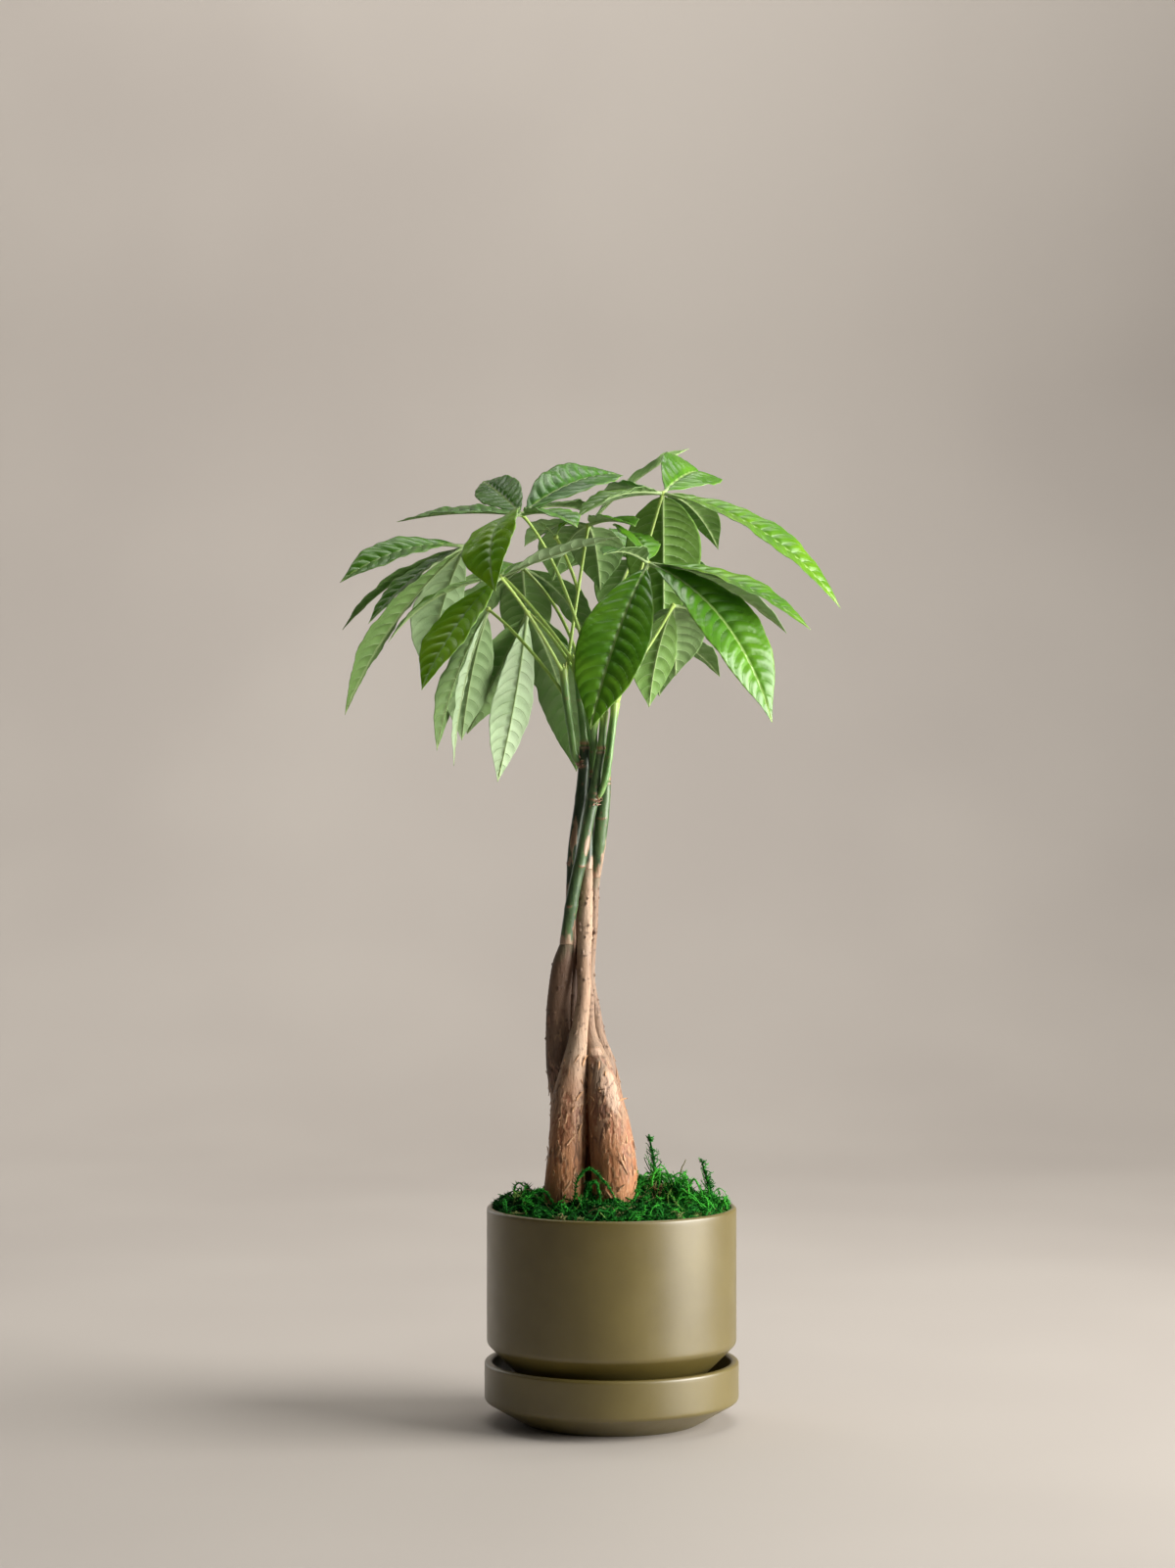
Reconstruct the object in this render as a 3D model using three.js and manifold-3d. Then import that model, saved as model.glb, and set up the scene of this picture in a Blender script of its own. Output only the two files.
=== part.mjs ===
// Potted money tree: five braided trunks with palmate leaves, in a glazed pot on its saucer.
// Millimetres, +Z up. The origin is the centre of the saucer's underside, +X is to the right seen
// from the front, and +Y points away from the front.

import * as THREE from 'three';
import { mergeVertices } from 'three/addons/utils/BufferGeometryUtils.js';
import Module from 'manifold-3d';

const wasm = await Module();
wasm.setup();

// ---------------------------------------------------------------- driving dimensions

const GAP = 0.3; // between pieces that touch
const POT_RADIUS = 70;
const POT_TOP = 120;
const POT_WALL = 3.7;
const POT_FLOOR = 5.5;
const POT_FOOT_RADIUS = 50;
const POT_FOOT_RING = 6; // width of the ring that the pot stands on
const POT_FOOT_RECESS = 2; // height of the hollow inside that ring
const POT_CHAMFER_LOW = 24; // where the slanted lower wall meets the foot
const POT_CORNER = 3; // rounding between the slanted and the straight wall
const POT_CORNER_CUT = 2.1; // how far below that corner its rounding starts, across and down
const DRAIN_RADIUS = 6;

const SAUCER_RADIUS = 71.3;
const SAUCER_TOP = 34;
const SAUCER_WALL = 4.5;
const SAUCER_FLOOR = 6;
const SAUCER_FOOT_RADIUS = 50;
const SAUCER_SHOULDER = 12.4; // where the slanted underside meets the straight wall
const SAUCER_CORNER = 2.5;
const SAUCER_FLOOR_RADIUS = 51; // where its floor meets the slanted inner side

const SOIL_TOP = 108;
const ROOT_DEPTH = 60; // height of the trunks' lower ends, deep in the soil
const MOSS_RIM = 118; // height of the moss at the pot's rim
const MOSS_MOUND = 9; // how much higher it lies round the trunks
const MOSS_MOUND_SPREAD = 1500; // square of that mound's reach
const MOSS_SIDE_MOUND = 5; // height of a second mound, to the right of the trunks
const MOSS_SIDE_SPREAD = 500;
const MOSS_LUMPS = 1.4; // height of the lumps all over it
const MOSS_RIM_STEP = 3; // how much lower it is where it meets the pot

const TURN_SEGMENTS = 40;
const ROUND_STEPS = 3; // points along a small rounding
const TRUNK_SIDES = 12;
const STEM_SIDES = 9;
const SHOOT_SIDES = 8;
const STALK_SIDES = 6;
const STALK_STEPS = 5;
const KNOT_SIDES = 6;
const KNOT_RINGS = 4;

const STALK_RADIUS = 1.1; // a leaf's stalk
const STALK_BENDS = [0.33, 0.7]; // shares of its length at which it bows
const HUB_RADIUS = 2.1; // where its leaflets meet
const BLADE_THICKNESS = 0.7;
const BLADE_FOLD = 14 * Math.PI / 180; // each half of a leaflet rises from the midrib
const BLADE_WAVE = 0.6; // how far the margins wave where a leaflet is widest
const BLADE_WAVES = 3; // waves along a margin
const BLADE_WAVE_SHIFT = 1.7; // radians by which each leaflet's waves are ahead of the last one's
const BLADE_STATIONS = [0, 0.12, 0.3, 0.5, 0.68, 0.85, 1];
const LEAFLET_ROOT_HALF = 1.1; // half width where it grows from the hub
const LEAFLET_TIP_HALF = 0.4;

const FINISH = {
  glaze: { color: 0x80765a, roughness: 0.42 },
  soil: { color: 0x3a2a1e, roughness: 1 },
  moss: { color: 0x0e6b2c, roughness: 0.95 },
  bark: { color: 0x966e50, roughness: 0.85 },
  stem: { color: 0x435a3e, roughness: 0.6 },
  shoot: { color: 0x78a050, roughness: 0.5 },
  leaf: { color: 0x3c8c2e, roughness: 0.4 },
};

// Each trunk's line, as x, y, z and radius. It starts deep in the soil, swells above it, and
// winds round the others. The stem goes on from the wood's upper end, in dark green.
const TRUNKS = [
  {
    wood: [
      [-27, -9, ROOT_DEPTH, 7], [-27.5, -9, 100, 10], [-27, -9, 127, 10.8], [-26, -9, 143, 10.5],
      [-24.6, -8.5, 162, 10.1], [-23.8, -8, 181, 9.2], [-21.4, -8, 199.6, 6.9], [-18.1, -8, 219, 4.8],
      [-15.6, -7.5, 238, 3.8], [-15.4, -6, 257, 4], [-14.9, -4.5, 276.7, 4], [-14, -2.5, 296, 3.4],
      [-13.7, -0.5, 309, 3.1],
    ],
    stem: [[-13.7, -0.5, 309, 3.1], [-13.2, 1, 322, 2.9], [-11.7, 3.2, 342, 2.5], [-10.2, 3.6, 362, 2.5]],
  },
  {
    wood: [
      [2, -10.5, ROOT_DEPTH, 6.5], [2, -11.5, 100, 9.5], [1.6, -12, 125, 12.1],
      [1.4, -11.5, 142, 12.7], [-0.6, -11, 161, 11.9], [-3.6, -9.5, 181, 9.5],
      [-7, -6.3, 199.6, 6.7], [-12.2, -1.6, 219, 3.4], [-13.2, 0.8, 238, 3], [-15.8, 4, 257, 3],
      [-17, 8.5, 276.7, 3], [-16, 9, 298, 2.9],
    ],
    stem: [[-16, 9, 298, 2.9], [-14.5, 9, 320, 2.8], [-12.5, 9.6, 345, 2.6], [-11.6, 10.6, 366, 2.5]],
  },
  {
    wood: [
      [-23, 14, ROOT_DEPTH, 6.5], [-23.5, 14, 100, 8.5], [-24, 14, 127, 9], [-24.5, 13.5, 145, 9],
      [-25.3, 12, 162, 8.5], [-27.3, 9, 181, 7.3], [-29.8, 5.5, 199.6, 6.8], [-30.3, 3, 219, 6.6],
      [-29.5, 1, 238, 6.4], [-27.2, -2, 256, 5.9], [-25.1, -4, 267, 4.1],
    ],
    stem: [
      [-25.1, -4, 267, 4.1], [-24.2, -5.5, 276.7, 3.7], [-21.3, -7.5, 296, 3.5], [-17, -7.6, 315.5, 3.4],
      [-13.3, -6.5, 334.7, 3.3], [-11, -5.5, 346, 3.5], [-9.4, -5, 354, 3], [-6, -4, 375.3, 2.4],
    ],
  },
  {
    wood: [
      [8, 15, ROOT_DEPTH, 7], [7, 15, 100, 9.5], [5.5, 15, 127, 10.3], [3.5, 14.5, 145, 10],
      [1.5, 13.5, 165, 8.8], [-1, 11.5, 181, 7.2], [-3, 9.5, 199.6, 5.2], [-7, 8.5, 214, 3.8],
      [-9.4, 8.5, 230, 3], [-12, 9.4, 246, 2.7], [-11.8, 10.4, 260, 2.8], [-10.6, 8.2, 277, 2.8],
      [-9.8, 5.6, 296, 2.8], [-9.1, 5, 304, 2.8],
    ],
    stem: [
      [-9.1, 5, 304, 2.8], [-7.1, 3.2, 320, 3.4], [-5.6, 2.1, 335, 3.8], [-4, 2.2, 349, 3.4],
      [-3.2, 2, 358, 2.8],
    ],
  },
  {
    wood: [
      [-9, 30, ROOT_DEPTH, 6], [-9.5, 29.5, 100, 8], [-10, 28.5, 127, 8.5], [-11.5, 26.5, 147, 8],
      [-13.3, 23.5, 165, 7], [-16, 19.5, 181, 6], [-18.5, 16, 199.6, 5], [-20.6, 12.5, 219, 4.3],
      [-21.9, 10.5, 238, 3.8], [-22.4, 8, 257, 3.3], [-23.4, 4.6, 276.7, 3.2], [-22.5, 2.8, 292, 3.2],
    ],
    stem: [
      [-22.5, 2.8, 292, 3.2], [-21.4, 1.4, 320, 3.1], [-17.6, 1.6, 345, 3.4], [-15.9, 2, 363, 3.1],
      [-15.2, 2.3, 378, 2.7],
    ],
  },
];

// Light green shoots, as x, y, z and radius. Those on a stem's end start above it, and the others
// leave a stem's side, where a scar marks the place.
const SHOOTS = {
  shoot_1: [
    [-16, 2, 366, 1.8], [-20.3, 2, 372, 2.2], [-22.4, 1.4, 385, 2.2], [-25.4, 0.4, 405, 2.2],
    [-27.2, 0, 421, 2.5],
  ],
  shoot_2: [[-15.2, 2.3, 378, 2.4], [-16.2, 2.2, 388, 2.1], [-18.2, 2, 408, 2.1], [-20.4, 2, 426, 2.3]],
  shoot_3: [
    [-10.2, 3.6, 362, 2.3], [-9.8, 0.6, 376, 2.1], [-9.9, -2.4, 387, 2.1], [-7.9, -5.2, 396.5, 2.2],
  ],
  shoot_4: [[-6, -4, 375.3, 2.4], [-5.2, -2.4, 384, 2.1], [-4, 0.6, 397, 2.3]],
  shoot_5: [
    [-10.6, -5.2, 346, 1.6], [-6, -7.4, 352, 1.9], [-2.3, -8, 365, 1.8], [0.4, -5.6, 386, 1.8],
    [1.8, -1.5, 402, 2.4],
  ],
  shoot_6: [[-3.2, 2, 358, 2.5], [-2, 3.2, 372, 2.3], [0.4, 5.8, 389, 2.2], [2.6, 8, 402, 2.4]],
  shoot_7: [[-11.6, 10.6, 366, 2.3], [-12.2, 12.6, 386, 2.2], [-13.6, 15, 404, 2.4]],
};
const SHOOT_STEMS = {
  shoot_1: 5, shoot_2: 5, shoot_3: 1, shoot_4: 3, shoot_5: 3, shoot_6: 4, shoot_7: 2,
};

// Each leaf: the shoot that it grows on, where its stalk starts inside the shoot, how the stalk
// bows, its hub, and its leaflets as the tip's x, y and z, the width, the rise of the arched midrib,
// and the roll about the line from hub to tip in degrees. One stalk carries a young leaf as well.
const LEAVES = {
  leaf_top_right: {
    shoot: 'shoot_4', from: [-4, 0.6, 395], bow: [0, 0, 5], hub: [29, 15, 521],
    leaflets: [
      [128, -5, 455, 28, 13, 22], [54, 86, 537, 37, 7, 30], [63, 82, 494, 23, 8, 0],
      [31, 80, 443, 45, 18, 0], [-19, 20, 508, 24, 4, -12], [-5, 38, 524, 20, 2, 12],
      [-19, -25, 504, 26, 6, 0],
    ],
  },
  leaf_front_right: {
    shoot: 'shoot_5', from: [1.8, -1.5, 400], bow: [0, 0, 6], hub: [20, -35, 478],
    leaflets: [
      [107, -70, 440, 28, 8, 10], [86, -72, 390, 39, 19, 28], [98, -5, 441, 28, 7, 0],
      [-12, -75, 386, 40, 10, -25], [4, 25, 500, 27, 5, 18], [-5, -75, 480, 24, 4, 0],
    ],
  },
  leaf_front_left: {
    shoot: 'shoot_1', from: [-27.2, 0, 419], bow: [0, 0, 4], hub: [-61, -45, 470],
    leaflets: [
      [3, -85, 489, 20, 2, -5], [-102, -90, 407, 33, 5, 0], [-122, -55, 434, 22, 8, 0],
      [-50, 20, 478, 24, 4, 0],
    ],
  },
  leaf_top_left: {
    shoot: 'shoot_4', from: [-4.7, -1, 390], bow: [4, 0, 16], hub: [-50, -10, 507],
    leaflets: [
      [-74, 62, 532, 26, 2, -30], [-63, -80, 460, 38, 14, 30], [-19, -60, 496, 26, 4, 0],
      [7, 48, 534, 38, 7, 20], [-122, 30, 506, 24, 3, -15], [-14, 45, 513, 26, 4, 0],
    ],
  },
  leaf_left: {
    shoot: 'shoot_2', from: [-20.4, 2, 424], bow: [0, 0, 8], hub: [-82, 0, 490],
    leaflets: [
      [-149, -45, 467, 28, 8, -20], [-152, 15, 444, 22, 6, 0],
      [-134, -35, 445, 24, 4, 0], [-151, 20, 396, 38, 8, 0], [-104, 30, 418, 34, 6, 0],
    ],
  },
  leaf_top: {
    shoot: 'shoot_1', from: [-26.2, 0.2, 413], bow: [0, 0, 3], hub: [-13, 30, 504],
    leaflets: [
      [46, 94, 554, 24, 4, -30], [13, -15, 500, 26, 3, 0], [-6, 80, 470, 32, 8, 0],
      [-34, 90, 476, 32, 8, 0], [-50, 58, 494, 26, 6, 0],
    ],
    young: {
      from: [-18.6, 17.6, 466], bow: [0, 0, 3], hub: [-31.6, 24, 497],
      leaflets: [[-47, 18, 505, 6, 2, 0], [-21, 31, 508, 7, 2, 0]],
    },
  },
  leaf_hanging_left: {
    shoot: 'shoot_1', from: [-25.4, 0.4, 405], bow: [0, 0, 5], hub: [-70, 25, 456],
    leaflets: [
      [-100, 45, 376, 22, 5, 0], [-89, 14, 367, 18, 4, 40], [-86, 52, 382, 31, 4, 0],
    ],
  },
  leaf_hanging_centre: {
    shoot: 'shoot_2', from: [-19.4, 2, 417], bow: [0, 0, 5], hub: [-48, 45, 455],
    leaflets: [
      [-66, 75, 358, 27, -3, 0], [-84, 84, 386, 44, 0, 0], [-20, 65, 364, 38, 9, -22],
      [-37, 112, 405, 34, 8, 0],
    ],
  },
  leaf_hanging_right: {
    shoot: 'shoot_3', from: [-7.9, -5.2, 394.5], bow: [3, -21, 0], hub: [35, 25, 458],
    leaflets: [
      [22, 52, 401, 28, 5, 0], [38, 80, 420, 36, 6, 0], [62, 40, 440, 24, 5, 0],
    ],
  },
  leaf_back_left: {
    shoot: 'shoot_7', from: [-13.6, 15, 402], bow: [9, 0, 6], hub: [-52, 94, 484],
    leaflets: [
      [-50, 150, 430, 32, 8, 0], [-92, 134, 434, 34, 8, 0], [-114, 96, 448, 28, 8, 0],
      [-14, 132, 442, 30, 8, 0],
    ],
  },
  leaf_back: {
    shoot: 'shoot_7', from: [-12.9, 13.6, 395], bow: [-3, 0, 8], hub: [14, 100, 490],
    leaflets: [
      [4, 158, 450, 34, 10, 0], [50, 148, 452, 34, 10, 0], [-34, 138, 480, 28, 8, 0],
      [68, 112, 470, 30, 8, 0], [10, 146, 508, 26, 6, 0],
    ],
  },
  leaf_back_right: {
    shoot: 'shoot_6', from: [2.6, 8, 400], bow: [0, 0, 5], hub: [22, 98, 446],
    leaflets: [
      [30, 150, 410, 34, 8, 0], [66, 134, 421, 26, 6, 0], [84, 92, 432, 28, 8, 0],
    ],
  },
  leaf_low_back: {
    shoot: 'shoot_6', from: [1.5, 7, 394], bow: [0, 0, 4], hub: [-4, 62, 442],
    leaflets: [
      [-30, 112, 396, 34, 6, 0], [0, 126, 404, 34, 6, 0],
    ],
  },
};

// ---------------------------------------------------------------- solids

// A closed geometry as a solid that can be joined and cut.
function toSolid(geometry) {
  const bare = new THREE.BufferGeometry();
  bare.setAttribute('position', geometry.getAttribute('position').clone());
  bare.setIndex(geometry.getIndex());
  const merged = mergeVertices(bare, 1e-4);
  const mesh = new wasm.Mesh({
    numProp: 3,
    vertProperties: merged.getAttribute('position').array,
    triVerts: Uint32Array.from(merged.getIndex().array),
  });
  return new wasm.Manifold(mesh);
}

function toGeometry(solid) {
  const mesh = solid.getMesh();
  const geometry = new THREE.BufferGeometry();
  geometry.setAttribute('position', new THREE.BufferAttribute(mesh.vertProperties, 3));
  geometry.setIndex(new THREE.BufferAttribute(mesh.triVerts, 1));
  geometry.computeVertexNormals();
  return geometry;
}

function addMesh(group, name, geometry, finish) {
  const material = new THREE.MeshStandardMaterial({ ...FINISH[finish], metalness: 0 });
  const mesh = new THREE.Mesh(geometry, material);
  mesh.name = name;
  group.add(mesh);
}

// A turned piece from a path in radius and height.
function turned(path) {
  const geometry = new THREE.LatheGeometry(path.getPoints(ROUND_STEPS), TURN_SEGMENTS);
  return geometry.rotateX(Math.PI / 2);
}

function smoothLine(points) {
  const vectors = points.map((point) => new THREE.Vector3(...point));
  return new THREE.CatmullRomCurve3(vectors, false, 'catmullrom');
}

// A rod along x, y, z and radius points, with level rings. grow widens and lengthens it.
function rod(points, sides, steps, grow = 0) {
  const line = smoothLine(points.map(([x, y, z]) => [x, y, z]));
  const radii = smoothLine(points.map(([, , , radius]) => [radius, 0, 0]));
  const geometry = new THREE.CylinderGeometry(1, 1, 1, sides, steps).rotateX(Math.PI / 2);
  const position = geometry.getAttribute('position');
  for (let i = 0; i < position.count; i += 1) {
    const along = THREE.MathUtils.clamp(position.getZ(i) + 0.5, 0, 1);
    const radius = radii.getPoint(along).x + grow;
    const point = line.getPoint(along);
    point.x += radius * position.getX(i);
    point.y += radius * position.getY(i);
    point.z += (along > 0.999 ? grow : 0) - (along < 0.001 ? grow : 0);
    position.setXYZ(i, ...point);
  }
  return geometry;
}

// ---------------------------------------------------------------- pot and saucer

const POT_BASE = SAUCER_FLOOR + GAP;
const POT_INNER = POT_RADIUS - POT_WALL;
const CHAMFER_RISE = POT_RADIUS - POT_FOOT_RADIUS;
const CHAMFER_TOP = POT_CHAMFER_LOW + CHAMFER_RISE;
const INNER_FOOT = POT_FOOT_RADIUS - POT_WALL;
const INNER_SLANT_LOW = POT_CHAMFER_LOW + POT_WALL * Math.tan(Math.PI / 8);
const INNER_SLANT_TOP = INNER_SLANT_LOW + POT_INNER - INNER_FOOT;
const INNER_FLOOR = POT_BASE + POT_FLOOR;

function potGeometry() {
  const recess = POT_BASE + POT_FOOT_RECESS;
  const rim = POT_WALL / 2;
  const path = new THREE.Path();
  path.moveTo(DRAIN_RADIUS, recess);
  path.lineTo(POT_FOOT_RADIUS - POT_FOOT_RING, recess);
  path.lineTo(POT_FOOT_RADIUS - POT_FOOT_RING, POT_BASE);
  path.lineTo(POT_FOOT_RADIUS, POT_BASE);
  path.lineTo(POT_FOOT_RADIUS, POT_CHAMFER_LOW);
  path.lineTo(POT_RADIUS - POT_CORNER_CUT, CHAMFER_TOP - POT_CORNER_CUT);
  path.quadraticCurveTo(POT_RADIUS, CHAMFER_TOP, POT_RADIUS, CHAMFER_TOP + POT_CORNER);
  path.lineTo(POT_RADIUS, POT_TOP - rim);
  path.absarc(POT_RADIUS - rim, POT_TOP - rim, rim, 0, Math.PI);
  path.lineTo(POT_INNER, INNER_SLANT_TOP);
  path.lineTo(INNER_FOOT, INNER_SLANT_LOW);
  path.lineTo(INNER_FOOT, INNER_FLOOR);
  path.lineTo(DRAIN_RADIUS, INNER_FLOOR);
  path.closePath();
  return turned(path);
}

function saucerGeometry() {
  const inner = SAUCER_RADIUS - SAUCER_WALL;
  const rim = SAUCER_WALL / 2;
  const slope = SAUCER_SHOULDER / (SAUCER_RADIUS - SAUCER_FOOT_RADIUS);
  const path = new THREE.Path();
  path.moveTo(0, 0);
  path.lineTo(SAUCER_FOOT_RADIUS, 0);
  path.lineTo(SAUCER_RADIUS - SAUCER_CORNER, SAUCER_SHOULDER - SAUCER_CORNER * slope);
  path.quadraticCurveTo(SAUCER_RADIUS, SAUCER_SHOULDER, SAUCER_RADIUS, SAUCER_SHOULDER + SAUCER_CORNER);
  path.lineTo(SAUCER_RADIUS, SAUCER_TOP - rim);
  path.absarc(SAUCER_RADIUS - rim, SAUCER_TOP - rim, rim, 0, Math.PI);
  path.lineTo(inner, SAUCER_SHOULDER + SAUCER_CORNER);
  path.lineTo(SAUCER_FLOOR_RADIUS, SAUCER_FLOOR);
  path.lineTo(0, SAUCER_FLOOR);
  return turned(path);
}

// ---------------------------------------------------------------- trunks, stems and shoots

const TRUNK_STEPS = 15;
const STEM_STEPS = 9;
const SHOOT_STEPS = 5;

// A rod without its lower end's last bit, so that it starts one gap above what it stands on.
function raised(points) {
  const [first, ...rest] = points;
  return [[first[0], first[1], first[2] + GAP, first[3]], ...rest];
}

const woods = TRUNKS.map(({ wood }) => toSolid(rod(wood, TRUNK_SIDES, TRUNK_STEPS)));
const woodHoles = TRUNKS.map(({ wood }) => toSolid(rod(wood, TRUNK_SIDES, TRUNK_STEPS, GAP)));
const stems = TRUNKS.map(({ stem }) => toSolid(rod(raised(stem), STEM_SIDES, STEM_STEPS)));
const stemHoles = TRUNKS.map(({ stem }) => toSolid(rod(raised(stem), STEM_SIDES, STEM_STEPS, GAP)));

const shoots = {};
const shootHoles = {};
for (const [name, points] of Object.entries(SHOOTS)) {
  const stemHole = stemHoles[SHOOT_STEMS[name] - 1];
  shoots[name] = toSolid(rod(points, SHOOT_SIDES, SHOOT_STEPS)).subtract(stemHole);
  shootHoles[name] = toSolid(rod(points, SHOOT_SIDES, SHOOT_STEPS, GAP));
}

// ---------------------------------------------------------------- soil and moss

function soilSolid() {
  const path = new THREE.Path();
  const radius = POT_INNER - GAP;
  const foot = INNER_FOOT - GAP;
  path.moveTo(0, INNER_FLOOR + GAP);
  path.lineTo(foot, INNER_FLOOR + GAP);
  path.lineTo(foot, INNER_SLANT_LOW + GAP);
  path.lineTo(radius, INNER_SLANT_TOP + GAP);
  path.lineTo(radius, SOIL_TOP);
  path.lineTo(0, SOIL_TOP);
  return woodHoles.reduce((soil, hole) => soil.subtract(hole), toSolid(turned(path)));
}

const TRUNK_FOOT = [-9, 5]; // middle of the five trunks where they leave the moss
const SIDE_MOUND_CENTRE = [30, -2];
const MOSS_RINGS = [0.985, 0.85, 0.68, 0.5, 0.32, 0.14]; // shares of its radius with a ring of points
const TUFT_SIDES = 7;
const TUFT_STEPS = 5;
// Tufts that stand out of the moss, as x, y, z and radius.
const TUFTS = [
  [[26, 4, 122, 7], [25, 4, 136, 5], [23, 3, 149, 3], [21, 2, 160, 1.2]],
  [[57, -2, 116, 6], [56, -2, 126, 4.5], [53, -3, 137, 2.8], [50, -4, 147, 1.1]],
  [[38, -14, 116, 8], [37, -14, 128, 6], [39, -15, 136, 3]],
];

function mound(x, y, [centreX, centreY], spread) {
  return Math.exp(-((x - centreX) ** 2 + (y - centreY) ** 2) / spread);
}

function mossHeight(x, y) {
  const main = MOSS_MOUND * mound(x, y, TRUNK_FOOT, MOSS_MOUND_SPREAD);
  const side = MOSS_SIDE_MOUND * mound(x, y, SIDE_MOUND_CENTRE, MOSS_SIDE_SPREAD);
  const lumps = Math.sin(x * 0.31 + 1) * Math.cos(y * 0.27) + 0.6 * Math.sin(x * 0.13 - y * 0.52);
  return MOSS_RIM + main + side + MOSS_LUMPS * lumps;
}

function mossSolid() {
  const radius = POT_INNER - GAP;
  const path = new THREE.Path();
  path.moveTo(0, SOIL_TOP + GAP);
  path.lineTo(radius, SOIL_TOP + GAP);
  path.lineTo(radius, MOSS_RIM - MOSS_RIM_STEP);
  MOSS_RINGS.forEach((ring) => path.lineTo(radius * ring, MOSS_RIM));
  path.lineTo(0, MOSS_RIM);
  const geometry = new THREE.LatheGeometry(path.getPoints(), TURN_SEGMENTS / 2).rotateX(Math.PI / 2);
  const position = geometry.getAttribute('position');
  for (let i = 0; i < position.count; i += 1) {
    if (position.getZ(i) > MOSS_RIM - MOSS_RIM_STEP / 2) {
      position.setZ(i, mossHeight(position.getX(i), position.getY(i)));
    }
  }
  const tufts = TUFTS.map((tuft) => toSolid(rod(tuft, TUFT_SIDES, TUFT_STEPS)));
  const mat = tufts.reduce((moss, tuft) => moss.add(tuft), toSolid(geometry));
  return woodHoles.reduce((moss, hole) => moss.subtract(hole), mat);
}

// ---------------------------------------------------------------- leaves

// Half width of a leaflet of width 1 at a share of its length: narrow root, drawn-out tip.
function bladeHalf(along) {
  const body = Math.sin(Math.PI * along ** 1.15) ** 0.9;
  const drawnOut = 1 - 0.4 * Math.max(0, (along - 0.75) / 0.25) ** 1.5;
  return 0.5 * body * drawnOut;
}

// A leaflet: a thin blade, folded along its arched midrib, with waving margins.
function leafletGeometry(hub, [tipX, tipY, tipZ, width, rise, rollDegrees], phase) {
  const chord = new THREE.Vector3(tipX, tipY, tipZ).sub(hub);
  const along = chord.clone().normalize();
  const up = new THREE.Vector3(0, 0, 1).addScaledVector(along, -along.z).normalize();
  up.applyAxisAngle(along, THREE.MathUtils.degToRad(rollDegrees));
  const side = along.clone().cross(up);

  const vertices = [];
  const last = BLADE_STATIONS.length - 1;
  BLADE_STATIONS.forEach((s, station) => {
    const rib = hub.clone().addScaledVector(chord, s).addScaledVector(up, 4 * rise * s * (1 - s));
    const heading = chord.clone().addScaledVector(up, 4 * rise * (1 - 2 * s)).normalize();
    const normal = side.clone().cross(heading);
    const least = station === last ? LEAFLET_TIP_HALF : LEAFLET_ROOT_HALF;
    const half = Math.max(least, width * bladeHalf(Math.min(s, 0.999)));
    const wave = BLADE_WAVE * (2 * half / width) * Math.sin(2 * Math.PI * BLADE_WAVES * s + phase);
    for (const face of [0.5, -0.5]) {
      for (const edge of [-1, 0, 1]) {
        const lift = Math.abs(edge) * (half * Math.sin(BLADE_FOLD) + edge * wave) + face * BLADE_THICKNESS;
        const point = rib.clone().addScaledVector(side, edge * half * Math.cos(BLADE_FOLD));
        vertices.push(...point.addScaledVector(normal, lift).toArray());
      }
    }
  });

  // Ring of a station: upper left, upper rib, upper right, lower right, lower rib, lower left.
  const ring = [0, 1, 2, 5, 4, 3];
  const faces = [];
  for (let station = 0; station < last; station += 1) {
    const here = 6 * station;
    const next = here + 6;
    for (let i = 0; i < 6; i += 1) {
      const a = ring[i];
      const b = ring[(i + 1) % 6];
      const lower = i === 3 || i === 4;
      if (lower) {
        faces.push(here + b, next + b, next + a, here + b, next + a, here + a);
      } else {
        faces.push(here + a, here + b, next + b, here + a, next + b, next + a);
      }
    }
  }
  const end = 6 * last;
  faces.push(0, 4, 1, 0, 3, 4, 1, 5, 2, 1, 4, 5);
  faces.push(end, end + 1, end + 4, end, end + 4, end + 3);
  faces.push(end + 1, end + 2, end + 5, end + 1, end + 5, end + 4);

  const geometry = new THREE.BufferGeometry();
  geometry.setAttribute('position', new THREE.Float32BufferAttribute(vertices, 3));
  geometry.setIndex(faces);
  return geometry;
}

// A leaf's stalk, bowed between its shoot and its hub.
function stalkGeometry(from, hub, bow) {
  const span = hub.clone().sub(from);
  const lift = new THREE.Vector3(...bow);
  const line = new THREE.CubicBezierCurve3(
    from,
    from.clone().addScaledVector(span, STALK_BENDS[0]).add(lift),
    from.clone().addScaledVector(span, STALK_BENDS[1]).add(lift),
    hub,
  );
  const outline = new THREE.Shape();
  outline.absarc(0, 0, STALK_RADIUS, 0, 2 * Math.PI);
  return new THREE.ExtrudeGeometry(outline, {
    extrudePath: line,
    steps: STALK_STEPS,
    curveSegments: STALK_SIDES / 2,
  });
}

function leafSolid({ from, bow, hub, leaflets, young }) {
  const centre = new THREE.Vector3(...hub);
  const knot = new THREE.SphereGeometry(HUB_RADIUS, KNOT_SIDES, KNOT_RINGS).translate(...hub);
  const pieces = leaflets.map((leaflet, i) => {
    return toSolid(leafletGeometry(centre, leaflet, BLADE_WAVE_SHIFT * i));
  });
  pieces.push(toSolid(knot), toSolid(stalkGeometry(new THREE.Vector3(...from), centre, bow)));
  if (young) {
    pieces.push(leafSolid(young));
  }
  return wasm.Manifold.union(pieces);
}

// ---------------------------------------------------------------- the whole plant

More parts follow.
